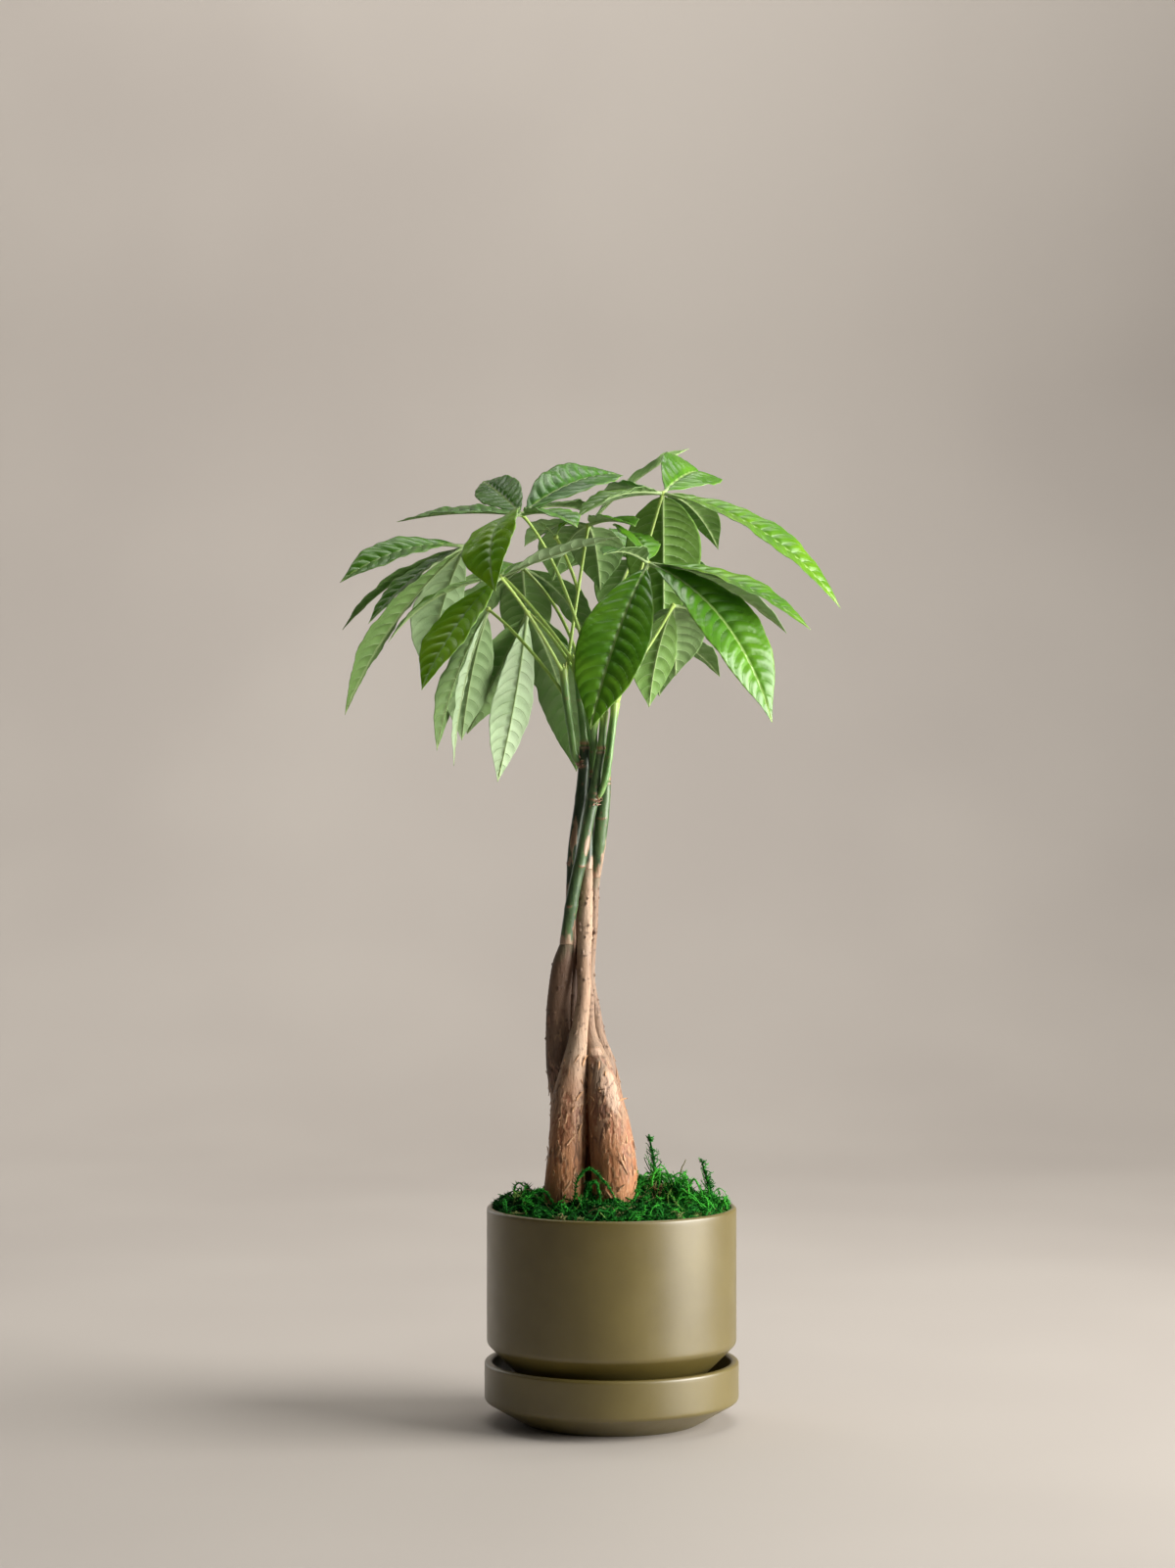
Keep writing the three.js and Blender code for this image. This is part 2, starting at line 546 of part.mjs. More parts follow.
const moneyTree = new THREE.Group();
addMesh(moneyTree, 'saucer', saucerGeometry(), 'glaze');
addMesh(moneyTree, 'pot', potGeometry(), 'glaze');
addMesh(moneyTree, 'soil', toGeometry(soilSolid()), 'soil');
addMesh(moneyTree, 'moss', toGeometry(mossSolid()), 'moss');
woods.forEach((wood, i) => addMesh(moneyTree, `trunk_${i + 1}`, toGeometry(wood), 'bark'));
stems.forEach((stem, i) => addMesh(moneyTree, `stem_${i + 1}`, toGeometry(stem), 'stem'));
for (const [name, shoot] of Object.entries(shoots)) {
  addMesh(moneyTree, name, toGeometry(shoot), 'shoot');
}
for (const [name, leaf] of Object.entries(LEAVES)) {
  addMesh(moneyTree, name, toGeometry(leafSolid(leaf).subtract(shootHoles[leaf.shoot])), 'leaf');
}

export default moneyTree;
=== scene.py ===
"""Potted money tree: the visual model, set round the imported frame. Tables are in millimetres."""
import itertools
import math

import bpy
import numpy as np
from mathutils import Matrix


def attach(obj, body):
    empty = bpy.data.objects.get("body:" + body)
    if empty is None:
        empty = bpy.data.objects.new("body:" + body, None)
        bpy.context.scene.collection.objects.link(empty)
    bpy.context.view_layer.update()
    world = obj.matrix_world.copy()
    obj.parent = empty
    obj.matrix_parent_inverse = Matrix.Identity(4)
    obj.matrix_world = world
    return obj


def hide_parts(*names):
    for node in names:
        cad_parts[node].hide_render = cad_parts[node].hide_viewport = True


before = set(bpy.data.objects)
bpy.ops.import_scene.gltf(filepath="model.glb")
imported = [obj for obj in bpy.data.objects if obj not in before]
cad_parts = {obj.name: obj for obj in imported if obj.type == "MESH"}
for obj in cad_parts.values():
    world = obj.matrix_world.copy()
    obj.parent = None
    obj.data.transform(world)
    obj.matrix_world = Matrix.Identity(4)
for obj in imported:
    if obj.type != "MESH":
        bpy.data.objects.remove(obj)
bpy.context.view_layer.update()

MM = 0.001
UP = np.array([0.0, 0.0, 1.0])
GOLDEN_ANGLE = math.radians(137.5)
chance = np.random.default_rng(7)

# -------- sizes, in millimetres

POT_RADIUS = 70
POT_TOP = 120
POT_WALL = 3.7
POT_BASE = 6.3
POT_FLOOR = 11.8
POT_FOOT_RADIUS = 50
POT_FOOT_RING = 6
POT_RECESS = 8.3
POT_CHAMFER_LOW = 24
DRAIN_RADIUS = 6

SAUCER_RADIUS = 71.3
SAUCER_TOP = 34
SAUCER_WALL = 4.5
SAUCER_FLOOR = 6
SAUCER_FLOOR_RADIUS = 51
SAUCER_FOOT_RADIUS = 50
SAUCER_SHOULDER = 12.4
SAUCER_INNER_SHOULDER = 14.9

SOIL_TOP = 108
ROOT_DEPTH = 60
MOSS_RADIUS = 66
MOSS_RIM = 118
MOSS_MOUND = 9
MOSS_MOUND_SPREAD = 1500
MOSS_SIDE_MOUND = 5
MOSS_SIDE_SPREAD = 500
MOSS_LUMPS = 1.4
TRUNK_FOOT = (-9, 5)
SIDE_MOUND_CENTRE = (30, -2)

STALK_RADIUS = 1.05
STALK_BENDS = (0.33, 0.7)
STALK_STEPS = 60
STALK_SIDES = 12
HUB_RADIUS = 2.0
BLADE_FOLD = math.radians(11)  # with the puffs, as much lift as the solids' 14
GENTLE_FOLD = math.radians(8)  # of the flatter leaflets
BLADE_WAVE = 0.6
BLADE_WAVES = 3
BLADE_WAVE_SHIFT = 1.7
LEAFLET_ROOT_HALF = 0.5
LEAFLET_TIP_HALF = 0.3
BLADE_THICKNESS = 0.45
PETIOLULE = 11  # how far the blade takes to widen from its own short stalk
VEIN_SPACING = 7.2  # between side veins, along the midrib
PUFF = 0.044  # how far the blade rises between side veins, as a share of its width
THROUGH_LEAF = 0.28  # the share of the light that goes through a blade

TURNED_SIDES = 240  # of the pot and the saucer
TRUNK_SIDES = 112
TRUNK_STEP = 0.8
STEM_SIDES = 56
STEM_STEP = 0.6
SHOOT_SIDES = 32
SHOOT_STEP = 0.7
BARK_ROUGH_TOP = 195  # up to here the bark is rough
BARK_CALM_LOW = 245  # and from here on it is smooth
TICK_LOW = 190  # the lowest of the small dark ticks on the bark
WOUND_LOW = 222  # the lowest of the wound row of leaf scars on a trunk
WOUND_SPACING = 15.5
SHOOT_SCAR_SPACING = 13
FLAKES = 64  # small ones on each trunk, besides those in SEEN_FLAKES
FLAKE_LOW = 126
FLAKE_TOP = 204

MOSS_LEVEL = 124  # of the moss at the trunks
STRANDS = 1250
STRAND_LENGTHS = (9, 27)
STRAND_RADII = (0.35, 0.85)
SCALE_SIZES = (2.0, 4.0)
TUFT_STRANDS = 60
STRAND_STEPS = 10
STRAND_SIDES = 4

CAMERA_PLACE = (-0.0135, -1.894, 0.3567)  # in metres
CAMERA_LENS = 77.5
CAMERA_SENSOR = 36

# Each trunk's line as x, y, z and radius, from deep in the soil, and the green stem that it ends in.
TRUNKS = [
  {
    "wood": [
      [-27, -9, ROOT_DEPTH, 7], [-27.5, -9, 100, 10], [-27, -9, 127, 10.8], [-26, -9, 143, 10.5],
      [-24.6, -8.5, 162, 10.1], [-23.8, -8, 181, 9.2], [-21.4, -8, 199.6, 6.9], [-18.1, -8, 219, 4.8],
      [-15.6, -7.5, 238, 3.8], [-15.4, -6, 257, 4], [-14.9, -4.5, 276.7, 4], [-14, -2.5, 296, 3.4],
      [-13.7, -0.5, 309, 3.1],
    ],
    "stem": [[-13.7, -0.5, 309, 3.1], [-13.2, 1, 322, 2.9], [-11.7, 3.2, 342, 2.5], [-10.2, 3.6, 362, 2.5]],
  },
  {
    "wood": [
      [2, -10.5, ROOT_DEPTH, 6.5], [2, -11.5, 100, 9.5], [1.6, -12, 125, 12.1],
      [1.4, -11.5, 142, 12.7], [-0.6, -11, 161, 11.9], [-3.6, -9.5, 181, 9.5],
      [-7, -6.3, 199.6, 6.7], [-12.2, -1.6, 219, 3.4], [-13.2, 0.8, 238, 3], [-15.8, 4, 257, 3],
      [-17, 8.5, 276.7, 3], [-16, 9, 298, 2.9],
    ],
    "stem": [[-16, 9, 298, 2.9], [-14.5, 9, 320, 2.8], [-12.5, 9.6, 345, 2.6], [-11.6, 10.6, 366, 2.5]],
  },
  {
    "wood": [
      [-23, 14, ROOT_DEPTH, 6.5], [-23.5, 14, 100, 8.5], [-24, 14, 127, 9], [-24.5, 13.5, 145, 9],
      [-25.3, 12, 162, 8.5], [-27.3, 9, 181, 7.3], [-29.8, 5.5, 199.6, 6.8], [-30.3, 3, 219, 6.6],
      [-29.5, 1, 238, 6.4], [-27.2, -2, 256, 5.9], [-25.1, -4, 267, 4.1],
    ],
    "stem": [
      [-25.1, -4, 267, 4.1], [-24.2, -5.5, 276.7, 3.7], [-21.3, -7.5, 296, 3.5], [-17, -7.6, 315.5, 3.4],
      [-13.3, -6.5, 334.7, 3.3], [-11, -5.5, 346, 3.5], [-9.4, -5, 354, 3], [-6, -4, 375.3, 2.4],
    ],
  },
  {
    "wood": [
      [8, 15, ROOT_DEPTH, 7], [7, 15, 100, 9.5], [5.5, 15, 127, 10.3], [3.5, 14.5, 145, 10],
      [1.5, 13.5, 165, 8.8], [-1, 11.5, 181, 7.2], [-3, 9.5, 199.6, 5.2], [-7, 8.5, 214, 3.8],
      [-9.4, 8.5, 230, 3], [-12, 9.4, 246, 2.7], [-11.8, 10.4, 260, 2.8], [-10.6, 8.2, 277, 2.8],
      [-9.8, 5.6, 296, 2.8], [-9.1, 5, 304, 2.8],
    ],
    "stem": [
      [-9.1, 5, 304, 2.8], [-7.1, 3.2, 320, 3.4], [-5.6, 2.1, 335, 3.8], [-4, 2.2, 349, 3.4],
      [-3.2, 2, 358, 2.8],
    ],
  },
  {
    "wood": [
      [-9, 30, ROOT_DEPTH, 6], [-9.5, 29.5, 100, 8], [-10, 28.5, 127, 8.5], [-11.5, 26.5, 147, 8],
      [-13.3, 23.5, 165, 7], [-16, 19.5, 181, 6], [-18.5, 16, 199.6, 5], [-20.6, 12.5, 219, 4.3],
      [-21.9, 10.5, 238, 3.8], [-22.4, 8, 257, 3.3], [-23.4, 4.6, 276.7, 3.2], [-22.5, 2.8, 292, 3.2],
    ],
    "stem": [
      [-22.5, 2.8, 292, 3.2], [-21.4, 1.4, 320, 3.1], [-17.6, 1.6, 345, 3.4], [-15.9, 2, 363, 3.1],
      [-15.2, 2.3, 378, 2.7],
    ],
  },
]

# The green shoots, as x, y, z and radius.
SHOOTS = {
  "shoot_1": [
    [-16, 2, 366, 1.8], [-20.3, 2, 372, 2.2], [-22.4, 1.4, 385, 2.2], [-25.4, 0.4, 405, 2.2],
    [-27.2, 0, 421, 2.5],
  ],
  "shoot_2": [[-15.2, 2.3, 378, 2.4], [-16.2, 2.2, 388, 2.1], [-18.2, 2, 408, 2.1], [-20.4, 2, 426, 2.3]],
  "shoot_3": [
    [-10.2, 3.6, 362, 2.3], [-9.8, 0.6, 376, 2.1], [-9.9, -2.4, 387, 2.1], [-7.9, -5.2, 396.5, 2.2],
  ],
  "shoot_4": [[-6, -4, 375.3, 2.4], [-5.2, -2.4, 384, 2.1], [-4, 0.6, 397, 2.3]],
  "shoot_5": [
    [-10.6, -5.2, 346, 1.6], [-6, -7.4, 352, 1.9], [-2.3, -8, 365, 1.8], [0.4, -5.6, 386, 1.8],
    [1.8, -1.5, 402, 2.4],
  ],
  "shoot_6": [[-3.2, 2, 358, 2.5], [-2, 3.2, 372, 2.3], [0.4, 5.8, 389, 2.2], [2.6, 8, 402, 2.4]],
  "shoot_7": [[-11.6, 10.6, 366, 2.3], [-12.2, 12.6, 386, 2.2], [-13.6, 15, 404, 2.4]],
}

# Each leaf: where its stalk starts, how the stalk bows, its hub, its freshness from 0, dark, to 1,
# lime, a value that for some leaflets also carries painted light (see LEAFLET_TONES), and its
# leaflets as tip x, y and z, width, rise of the arched midrib, and roll in degrees.
LEAVES = {
  "leaf_top_right": {
    "from": [-4, 0.6, 395], "bow": [0, 0, 5], "hub": [29, 15, 521], "freshness_and_light": 0.42,
    "leaflets": [
      [128, -5, 455, 28, 13, 22], [54, 86, 537, 37, 7, 30], [63, 82, 494, 23, 8, 0],
      [31, 80, 443, 45, 18, 0], [-19, 20, 508, 24, 4, -12], [-5, 38, 524, 20, 2, 12],
      [-19, -25, 504, 26, 6, 0],
    ],
  },
  "leaf_front_right": {
    "from": [1.8, -1.5, 400], "bow": [0, 0, 6], "hub": [20, -35, 478], "freshness_and_light": 0.25,
    "leaflets": [
      [107, -70, 440, 28, 8, 10], [86, -72, 390, 39, 19, 28], [98, -5, 441, 28, 7, 0],
      [-12, -75, 386, 40, 10, -25], [4, 25, 500, 27, 5, 18], [-5, -75, 480, 24, 4, 0],
    ],
  },
  "leaf_front_left": {
    "from": [-27.2, 0, 419], "bow": [0, 0, 4], "hub": [-61, -45, 470], "freshness_and_light": 0.35,
    "leaflets": [
      [3, -85, 489, 20, 2, -5], [-102, -90, 407, 33, 5, 0], [-122, -55, 434, 22, 8, 0],
      [-50, 20, 478, 24, 4, 0],
    ],
  },
  "leaf_top_left": {
    "from": [-4.7, -1, 390], "bow": [4, 0, 16], "hub": [-50, -10, 507], "freshness_and_light": 0.18,
    "leaflets": [
      [-74, 62, 532, 26, 2, -30], [-63, -80, 460, 38, 14, 30], [-19, -60, 496, 26, 4, 0],
      [7, 48, 534, 38, 7, 20], [-122, 30, 506, 24, 3, -15], [-14, 45, 513, 26, 4, 0],
    ],
  },
  "leaf_left": {
    "from": [-20.4, 2, 424], "bow": [0, 0, 8], "hub": [-82, 0, 490], "freshness_and_light": 0.25,
    "leaflets": [
      [-149, -45, 467, 28, 8, -20], [-152, 15, 444, 22, 6, 0],
      [-134, -35, 445, 24, 4, 0], [-151, 20, 396, 38, 8, 0], [-104, 30, 418, 34, 6, 0],
    ],
  },
  "leaf_top": {
    "from": [-26.2, 0.2, 413], "bow": [0, 0, 3], "hub": [-13, 30, 504], "freshness_and_light": 0.25,
    "leaflets": [
      [46, 94, 554, 24, 4, -30], [13, -15, 500, 26, 3, 0], [-6, 80, 470, 32, 8, 0],
      [-34, 90, 476, 32, 8, 0], [-50, 58, 494, 26, 6, 0],
    ],
    "young": {
      "from": [-18.6, 17.6, 466], "bow": [0, 0, 3], "hub": [-31.6, 24, 497], "freshness_and_light": 1.0,
      "leaflets": [[-47, 18, 505, 6, 2, 0], [-21, 31, 508, 7, 2, 0]],
    },
  },
  "leaf_hanging_left": {
    "from": [-25.4, 0.4, 405], "bow": [0, 0, 5], "hub": [-70, 25, 456], "freshness_and_light": 0.15,
    "leaflets": [
      [-100, 45, 376, 22, 5, 0], [-89, 14, 367, 18, 4, 40], [-86, 52, 382, 31, 4, 0],
    ],
  },
  "leaf_hanging_centre": {
    "from": [-19.4, 2, 417], "bow": [0, 0, 5], "hub": [-48, 45, 455], "freshness_and_light": 0.15,
    "leaflets": [
      [-66, 75, 358, 27, -3, 0], [-84, 84, 386, 44, 0, 0], [-20, 65, 364, 38, 9, -22],
      [-37, 112, 405, 34, 8, 0],
    ],
  },
  "leaf_hanging_right": {
    "from": [-7.9, -5.2, 394.5], "bow": [3, -21, 0], "hub": [35, 25, 458], "freshness_and_light": 0.3,
    "leaflets": [
      [22, 52, 401, 28, 5, 0], [38, 80, 420, 36, 6, 0], [62, 40, 440, 24, 5, 0],
    ],
  },
  "leaf_back_left": {
    "from": [-13.6, 15, 402], "bow": [9, 0, 6], "hub": [-52, 94, 484], "freshness_and_light": 0.2,
    "leaflets": [
      [-50, 150, 430, 32, 8, 0], [-92, 134, 434, 34, 8, 0], [-114, 96, 448, 28, 8, 0],
      [-14, 132, 442, 30, 8, 0],
    ],
  },
  "leaf_back": {
    "from": [-12.9, 13.6, 395], "bow": [-3, 0, 8], "hub": [14, 100, 490], "freshness_and_light": 0.2,
    "leaflets": [
      [4, 158, 450, 34, 10, 0], [50, 148, 452, 34, 10, 0], [-34, 138, 480, 28, 8, 0],
      [68, 112, 470, 30, 8, 0], [10, 146, 508, 26, 6, 0],
    ],
  },
  "leaf_back_right": {
    "from": [2.6, 8, 400], "bow": [0, 0, 5], "hub": [22, 98, 446], "freshness_and_light": 0.2,
    "leaflets": [
      [30, 150, 410, 34, 8, 0], [66, 134, 421, 26, 6, 0], [84, 92, 432, 28, 8, 0],
    ],
  },
  "leaf_low_back": {
    "from": [1.5, 7, 394], "bow": [0, 0, 4], "hub": [-4, 62, 442], "freshness_and_light": 0.15,
    "leaflets": [
      [-30, 112, 396, 34, 6, 0], [0, 126, 404, 34, 6, 0],
    ],
  },
}
# Leaflets that differ from the rest of their leaf: how fresh they are, and how pale underneath.
# Some of these values are painted light: a leaflet set limer or paler than its own colour to look lit.
LEAFLET_TONES = {
  "leaf_top_right": {
    0: (0.5, 0.3), 1: (0.3, 0.35), 2: (0.35, 0.1), 3: (0.45, 0.05), 4: (0.3, 0.5), 5: (0.3, 0.85),
  },
  "leaf_front_right": {0: (0.45, 0.3), 1: (0.3, 0.3), 2: (0.45, 0.4), 3: (0.3, 0.3)},
  # Painted light: the second leaflet of this leaf is set to full lime to look lit.
  "leaf_front_left": {0: (0.25, 0.6), 1: (1.0, 0.3)},
  "leaf_top_left": {1: (0.9, 0.3), 3: (0.08, 0.3), 4: (0.05, 0.1)},
  "leaf_left": {3: (0.2, 0.2), 4: (0.2, 0.5)},
  "leaf_hanging_left": {1: (0.4, 1.0), 2: (0.3, 0.4)},
  "leaf_hanging_centre": {0: (0.4, 1.0), 1: (0.15, 0.2), 2: (0.3, 0.4)},
  "leaf_hanging_right": {0: (0.4, 0.05)},
}
PLAIN_PALENESS = 0.22  # of the other leaflets
GENTLY_FOLDED = {
  ("leaf_front_right", 1), ("leaf_front_right", 3), ("leaf_front_left", 1), ("leaf_top_left", 1),
  ("leaf_hanging_centre", 0),
}

# -------- curves, noise and faces


def unit(vectors):
    return vectors / np.linalg.norm(vectors, axis=-1, keepdims=True)


def stacked(*parts):
    """The parts, spread to one shape, side by side along a last axis."""
    return np.stack(np.broadcast_arrays(*parts), axis=-1)


def circle(count):
    """Evenly spaced angles all the way round."""
    return np.linspace(0, 2 * math.pi, count, endpoint=False)


def facing(angle):
    """Level vectors of length 1 at the given angles."""
    return stacked(np.cos(angle), np.sin(angle), 0)


def rows_of(table, number):
    """The rows of a table that begin with a trunk's number, without it."""
    return [rest for first, *rest in table if first == number]


def smooth_line(points, shares):
    """The smooth curve through points, at shares from 0 to 1 of the way along them."""
    points = np.asarray(points, float)
    ends = np.vstack([2 * points[0] - points[1], points, 2 * points[-1] - points[-2]])
    place = np.clip(shares, 0, 1) * (len(points) - 1)
    knot = np.minimum(place.astype(int), len(points) - 2)
    part = (place - knot)[:, None]
    before, a, b, after = (ends[knot + i] for i in range(4))
    start, stop = (b - before) / 2, (after - a) / 2
    square = -3 * a + 3 * b - 2 * start - stop
    cube = 2 * a - 2 * b + start + stop
    return a + start * part + square * part**2 + cube * part**3


def at_heights(points, heights):
    """The smooth curve through points of x, y, z and radius, at the given heights."""
    shares = np.linspace(0, 1, 1500)
    line = smooth_line(points, shares)
    return smooth_line(points, np.interp(heights, line[:, 2], shares))


def ease(low, high, value):
    """Rises smoothly from 0 at low to 1 at high, or the other way where low is the greater."""
    part = np.clip((value - low) / (high - low), 0, 1)
    return part * part * (3 - 2 * part)


def hashed(cell, seed):
    """A fixed value from 0 to 1 for each whole-numbered cell."""
    x, y, z = (cell[..., i].astype(np.uint64) for i in range(3))
    mixed = x * np.uint64(73856093) ^ y * np.uint64(19349663) ^ z * np.uint64(83492791)
    mixed ^= np.uint64(seed * 2654435761 + 12345)
    for shift, factor in ((33, 0xFF51AFD7ED558CCD), (29, 0xC4CEB9FE1A85EC53)):
        mixed = (mixed ^ (mixed >> np.uint64(shift))) * np.uint64(factor)
    return (mixed >> np.uint64(40)).astype(float) / 2**24


def noise(points, seed):
    """Smooth noise from -1 to 1 at points, whose last axis is x, y and z."""
    cell = np.floor(points).astype(np.int64)
    part = points - cell
    part = part * part * (3 - 2 * part)
    total = 0
    for corner in itertools.product((0, 1), repeat=3):
        weight = np.prod(np.where(corner, part, 1 - part), axis=-1)
        total = total + weight * hashed(cell + corner, seed)
    return 2 * total - 1


def rough_noise(points, seed, octaves):
    """Noise with finer noise on it, each octave half as wide and half as strong."""
    return sum(noise(points * 2**i, seed + i) / 2**i for i in range(octaves)) / (2 - 2 / 2**octaves)


def tube_faces(steps, sides):
    """Faces of a tube whose points are its rings, one after the other, and then its two ends."""
    step, side = np.meshgrid(np.arange(steps - 1), np.arange(sides), indexing="ij")
    here, up = step * sides, (step + 1) * sides
    after = (side + 1) % sides
    quads = stacked(here + side, here + after, up + after, up + side).reshape(-1, 4)
    side = np.arange(sides)
    after = (side + 1) % sides
    last = (steps - 1) * sides
    low = stacked(steps * sides, after, side)
    high = stacked(steps * sides + 1, last + side, last + after)
    return quads, np.vstack([low, high])


def sheet_faces(steps, across):
    """Faces of a thin sheet whose points are its upper grid and then its lower grid."""
    grid = np.arange(steps * across).reshape(steps, across)
    below = steps * across
    upper = stacked(grid[:-1, :-1], grid[:-1, 1:], grid[1:, 1:], grid[1:, :-1]).reshape(-1, 4)
    right, left, first, last = grid[:, -1], grid[:, 0], grid[0], grid[-1]
    rim = np.vstack([
        stacked(right[:-1], right[:-1] + below, right[1:] + below, right[1:]),
        stacked(left[:-1], left[1:], left[1:] + below, left[:-1] + below),
        stacked(first[:-1] + below, first[1:] + below, first[1:], first[:-1]),
        stacked(last[:-1], last[1:], last[1:] + below, last[:-1] + below),
    ])
    return upper, upper[:, ::-1] + below, rim


def tubes(spines, radii, sides):
    """Points of tubes along spines, an array of tube, step and x, y, z, with each step's radius."""
    heading = unit(np.gradient(spines, axis=1))
    start = np.where(np.abs(heading[:, :1, 2:]) > 0.9, [1.0, 0, 0], UP)
    right = [unit(np.cross(start[:, 0], heading[:, 0]))]
    for step in range(1, spines.shape[1]):
        along = heading[:, step]
        carried = right[-1] - along * np.sum(right[-1] * along, axis=-1, keepdims=True)
        right.append(unit(carried))
    right = np.stack(right, axis=1)
    ahead = np.cross(heading, right)
    angle = circle(sides)[:, None]
    turn = np.cos(angle) * right[:, :, None] + np.sin(angle) * ahead[:, :, None]
    rings = (spines[:, :, None] + radii[..., None, None] * turn).reshape(len(spines), -1, 3)
    return np.concatenate([rings, spines[:, :1], spines[:, -1:]], axis=1)


def placed(name, data):
    """A new object in the scene."""
    made = bpy.data.objects.new(name, data)
    bpy.context.scene.collection.objects.link(made)
    return made


class Skin:
    """The points and faces of one piece, with two painted vectors a point, until it is made."""

    def __init__(self):
        self.points, self.faces, self.slots, self.paint, self.shade = [], [], [], [], []
        self.count = 0

    def add(self, points, faces, slots=0, paint=(0, 0, 0), shade=(0, 0, 0)):
        points = np.asarray(points, float).reshape(-1, 3)
        slots = [slots] * len(faces) if isinstance(slots, int) else slots
        for part, slot in zip(faces, slots):
            self.faces.append(np.asarray(part) + self.count)
            self.slots.append(np.full(len(part), slot))
        self.points.append(points)
        self.paint.append(np.broadcast_to(np.asarray(paint, float), points.shape))
        self.shade.append(np.broadcast_to(np.asarray(shade, float), points.shape))
        self.count += len(points)

    def add_tube(self, spine, radii, sides, slot=0, paint=(0, 0, 0), shade=(0, 0, 0)):
        faces = tube_faces(len(spine), sides)
        self.add(tubes(spine[None], radii[None], sides)[0], faces, slot, paint, shade)

    def add_copies(self, points, faces, paint):
        """Adds many alike bodies. points has one row a body, and faces number one body's points."""
        shift = np.arange(len(points))[:, None, None] * points.shape[1]
        faces = [(part + shift).reshape(-1, part.shape[1]) for part in faces]
        paint = paint[:, None] if paint.ndim == 2 else paint
        self.add(points, faces, paint=np.broadcast_to(paint, points.shape).reshape(-1, 3))

    def make(self, name, slot, materials, *nodes):
        mesh = bpy.data.meshes.new(name)
        corners = np.concatenate([part.ravel() for part in self.faces])
        sizes = np.concatenate([np.full(len(part), part.shape[1]) for part in self.faces])
        mesh.vertices.add(self.count)
        mesh.vertices.foreach_set("co", (np.vstack(self.points) * MM).ravel())
        mesh.loops.add(len(corners))
        mesh.loops.foreach_set("vertex_index", corners)
        mesh.polygons.add(len(sizes))
        mesh.polygons.foreach_set("loop_start", np.cumsum(sizes) - sizes)
        mesh.polygons.foreach_set("material_index", np.concatenate(self.slots))
        mesh.polygons.foreach_set("use_smooth", np.ones(len(sizes), bool))
        for label, values in (("paint", self.paint), ("shade", self.shade)):
            layer = mesh.attributes.new(label, "FLOAT_VECTOR", "POINT")
            layer.data.foreach_set("vector", np.vstack(values).ravel())
        for material in materials:
            mesh.materials.append(material)
        mesh.update(calc_edges=True)
        piece = placed(name, mesh)
        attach(piece, "root")
        if nodes:
            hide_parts(*nodes)


# -------- materials


class Shader:
    """A material whose nodes are added and linked by short calls."""

    def __init__(self, name):
        self.material = bpy.data.materials.new(name)
        self.material.use_nodes = True
        self.tree = self.material.node_tree
        self.tree.nodes.clear()

    def node(self, kind, inputs=(), output=0, **settings):
        made = self.tree.nodes.new("ShaderNode" + kind)
        for key, value in settings.items():
            setattr(made, key, value)
        for key, value in dict(inputs).items():
            if isinstance(value, bpy.types.NodeSocket):
                self.tree.links.new(value, made.inputs[key])
            else:
                made.inputs[key].default_value = value
        return made.outputs[output]

    def painted(self, label):
        """The three parts of a painted vector."""
        vector = self.node("Attribute", attribute_name=label, output=1)
        split = self.tree.nodes.new("ShaderNodeSeparateXYZ")
        self.tree.links.new(vector, split.inputs[0])
        return split.outputs

    def place(self):
        return self.node("TexCoord", output=3)

    def noise(self, scale, detail, stretch=None):
        vector = self.place()
        if stretch:
            vector = self.node("Mapping", {"Vector": vector, "Scale": stretch})
        values = {"Vector": vector, "Scale": scale, "Detail": detail, "Roughness": 0.55}
        return self.node("TexNoise", values)

    def math(self, operation, a, b=0.0, c=0.0, clamp=False):
        return self.node("Math", {0: a, 1: b, 2: c}, operation=operation, use_clamp=clamp)

    def fit(self, value, low, high, to_low=0.0, to_high=1.0, smooth=True):
        kind = "SMOOTHSTEP" if smooth else "LINEAR"
        values = {0: value, 1: low, 2: high, 3: to_low, 4: to_high}
        return self.node("MapRange", values, interpolation_type=kind)

    def mix(self, factor, a, b, blend="MIX"):
        a, b = (value if isinstance(value, bpy.types.NodeSocket) else (*value, 1) for value in (a, b))
        return self.node("Mix", {0: factor, 6: a, 7: b}, 2, data_type="RGBA", blend_type=blend)

    def over(self, colour, mask, share, tone):
        """The colour with a share of a tone laid over it where the mask is 1."""
        return self.mix(self.math("MULTIPLY", mask, share), colour, tone)

    def surface(self, colour, roughness, bump, more=()):
        """A principled surface, with a bump of height, distance and strength."""
        height, distance, strength = bump
        values = {"Height": height, "Distance": distance, "Strength": strength}
        values = {"Base Color": colour, "Roughness": roughness, "Normal": self.node("Bump", values)}
        return self.node("BsdfPrincipled", values | dict(more))

    def finish(self, surface):
        output = self.tree.nodes.new("ShaderNodeOutputMaterial")
        self.tree.links.new(surface, output.inputs[0])
        return self.material


def glaze_material():
    """Satin olive glaze, thinner and lighter where it breaks over an edge."""
    s = Shader("olive_glaze")
    edge = s.painted("paint")[0]
    cloud = s.fit(s.noise(22.0, 4.0), 0.3, 0.7)
    colour = s.mix(cloud, (0.108, 0.081, 0.015), (0.137, 0.105, 0.024))
    colour = s.over(colour, s.fit(s.noise(900.0, 2.0), 0.62, 0.72), 0.3, (0.11, 0.088, 0.04))
    colour = s.over(colour, edge, 0.75, (0.3, 0.262, 0.13))
    roughness = s.fit(s.noise(60.0, 3.0), 0.3, 0.7, 0.36, 0.43)
    ripple = s.noise(45.0, 3.0, stretch=(1, 1, 0.25))
    height = s.math("MULTIPLY_ADD", s.noise(1400.0, 2.0), 0.12, ripple)
    coat = {"IOR": 1.6, "Coat Weight": 0.4, "Coat Roughness": 0.4}
    return s.finish(s.surface(colour, roughness, (height, 0.0003, 0.6), coat))


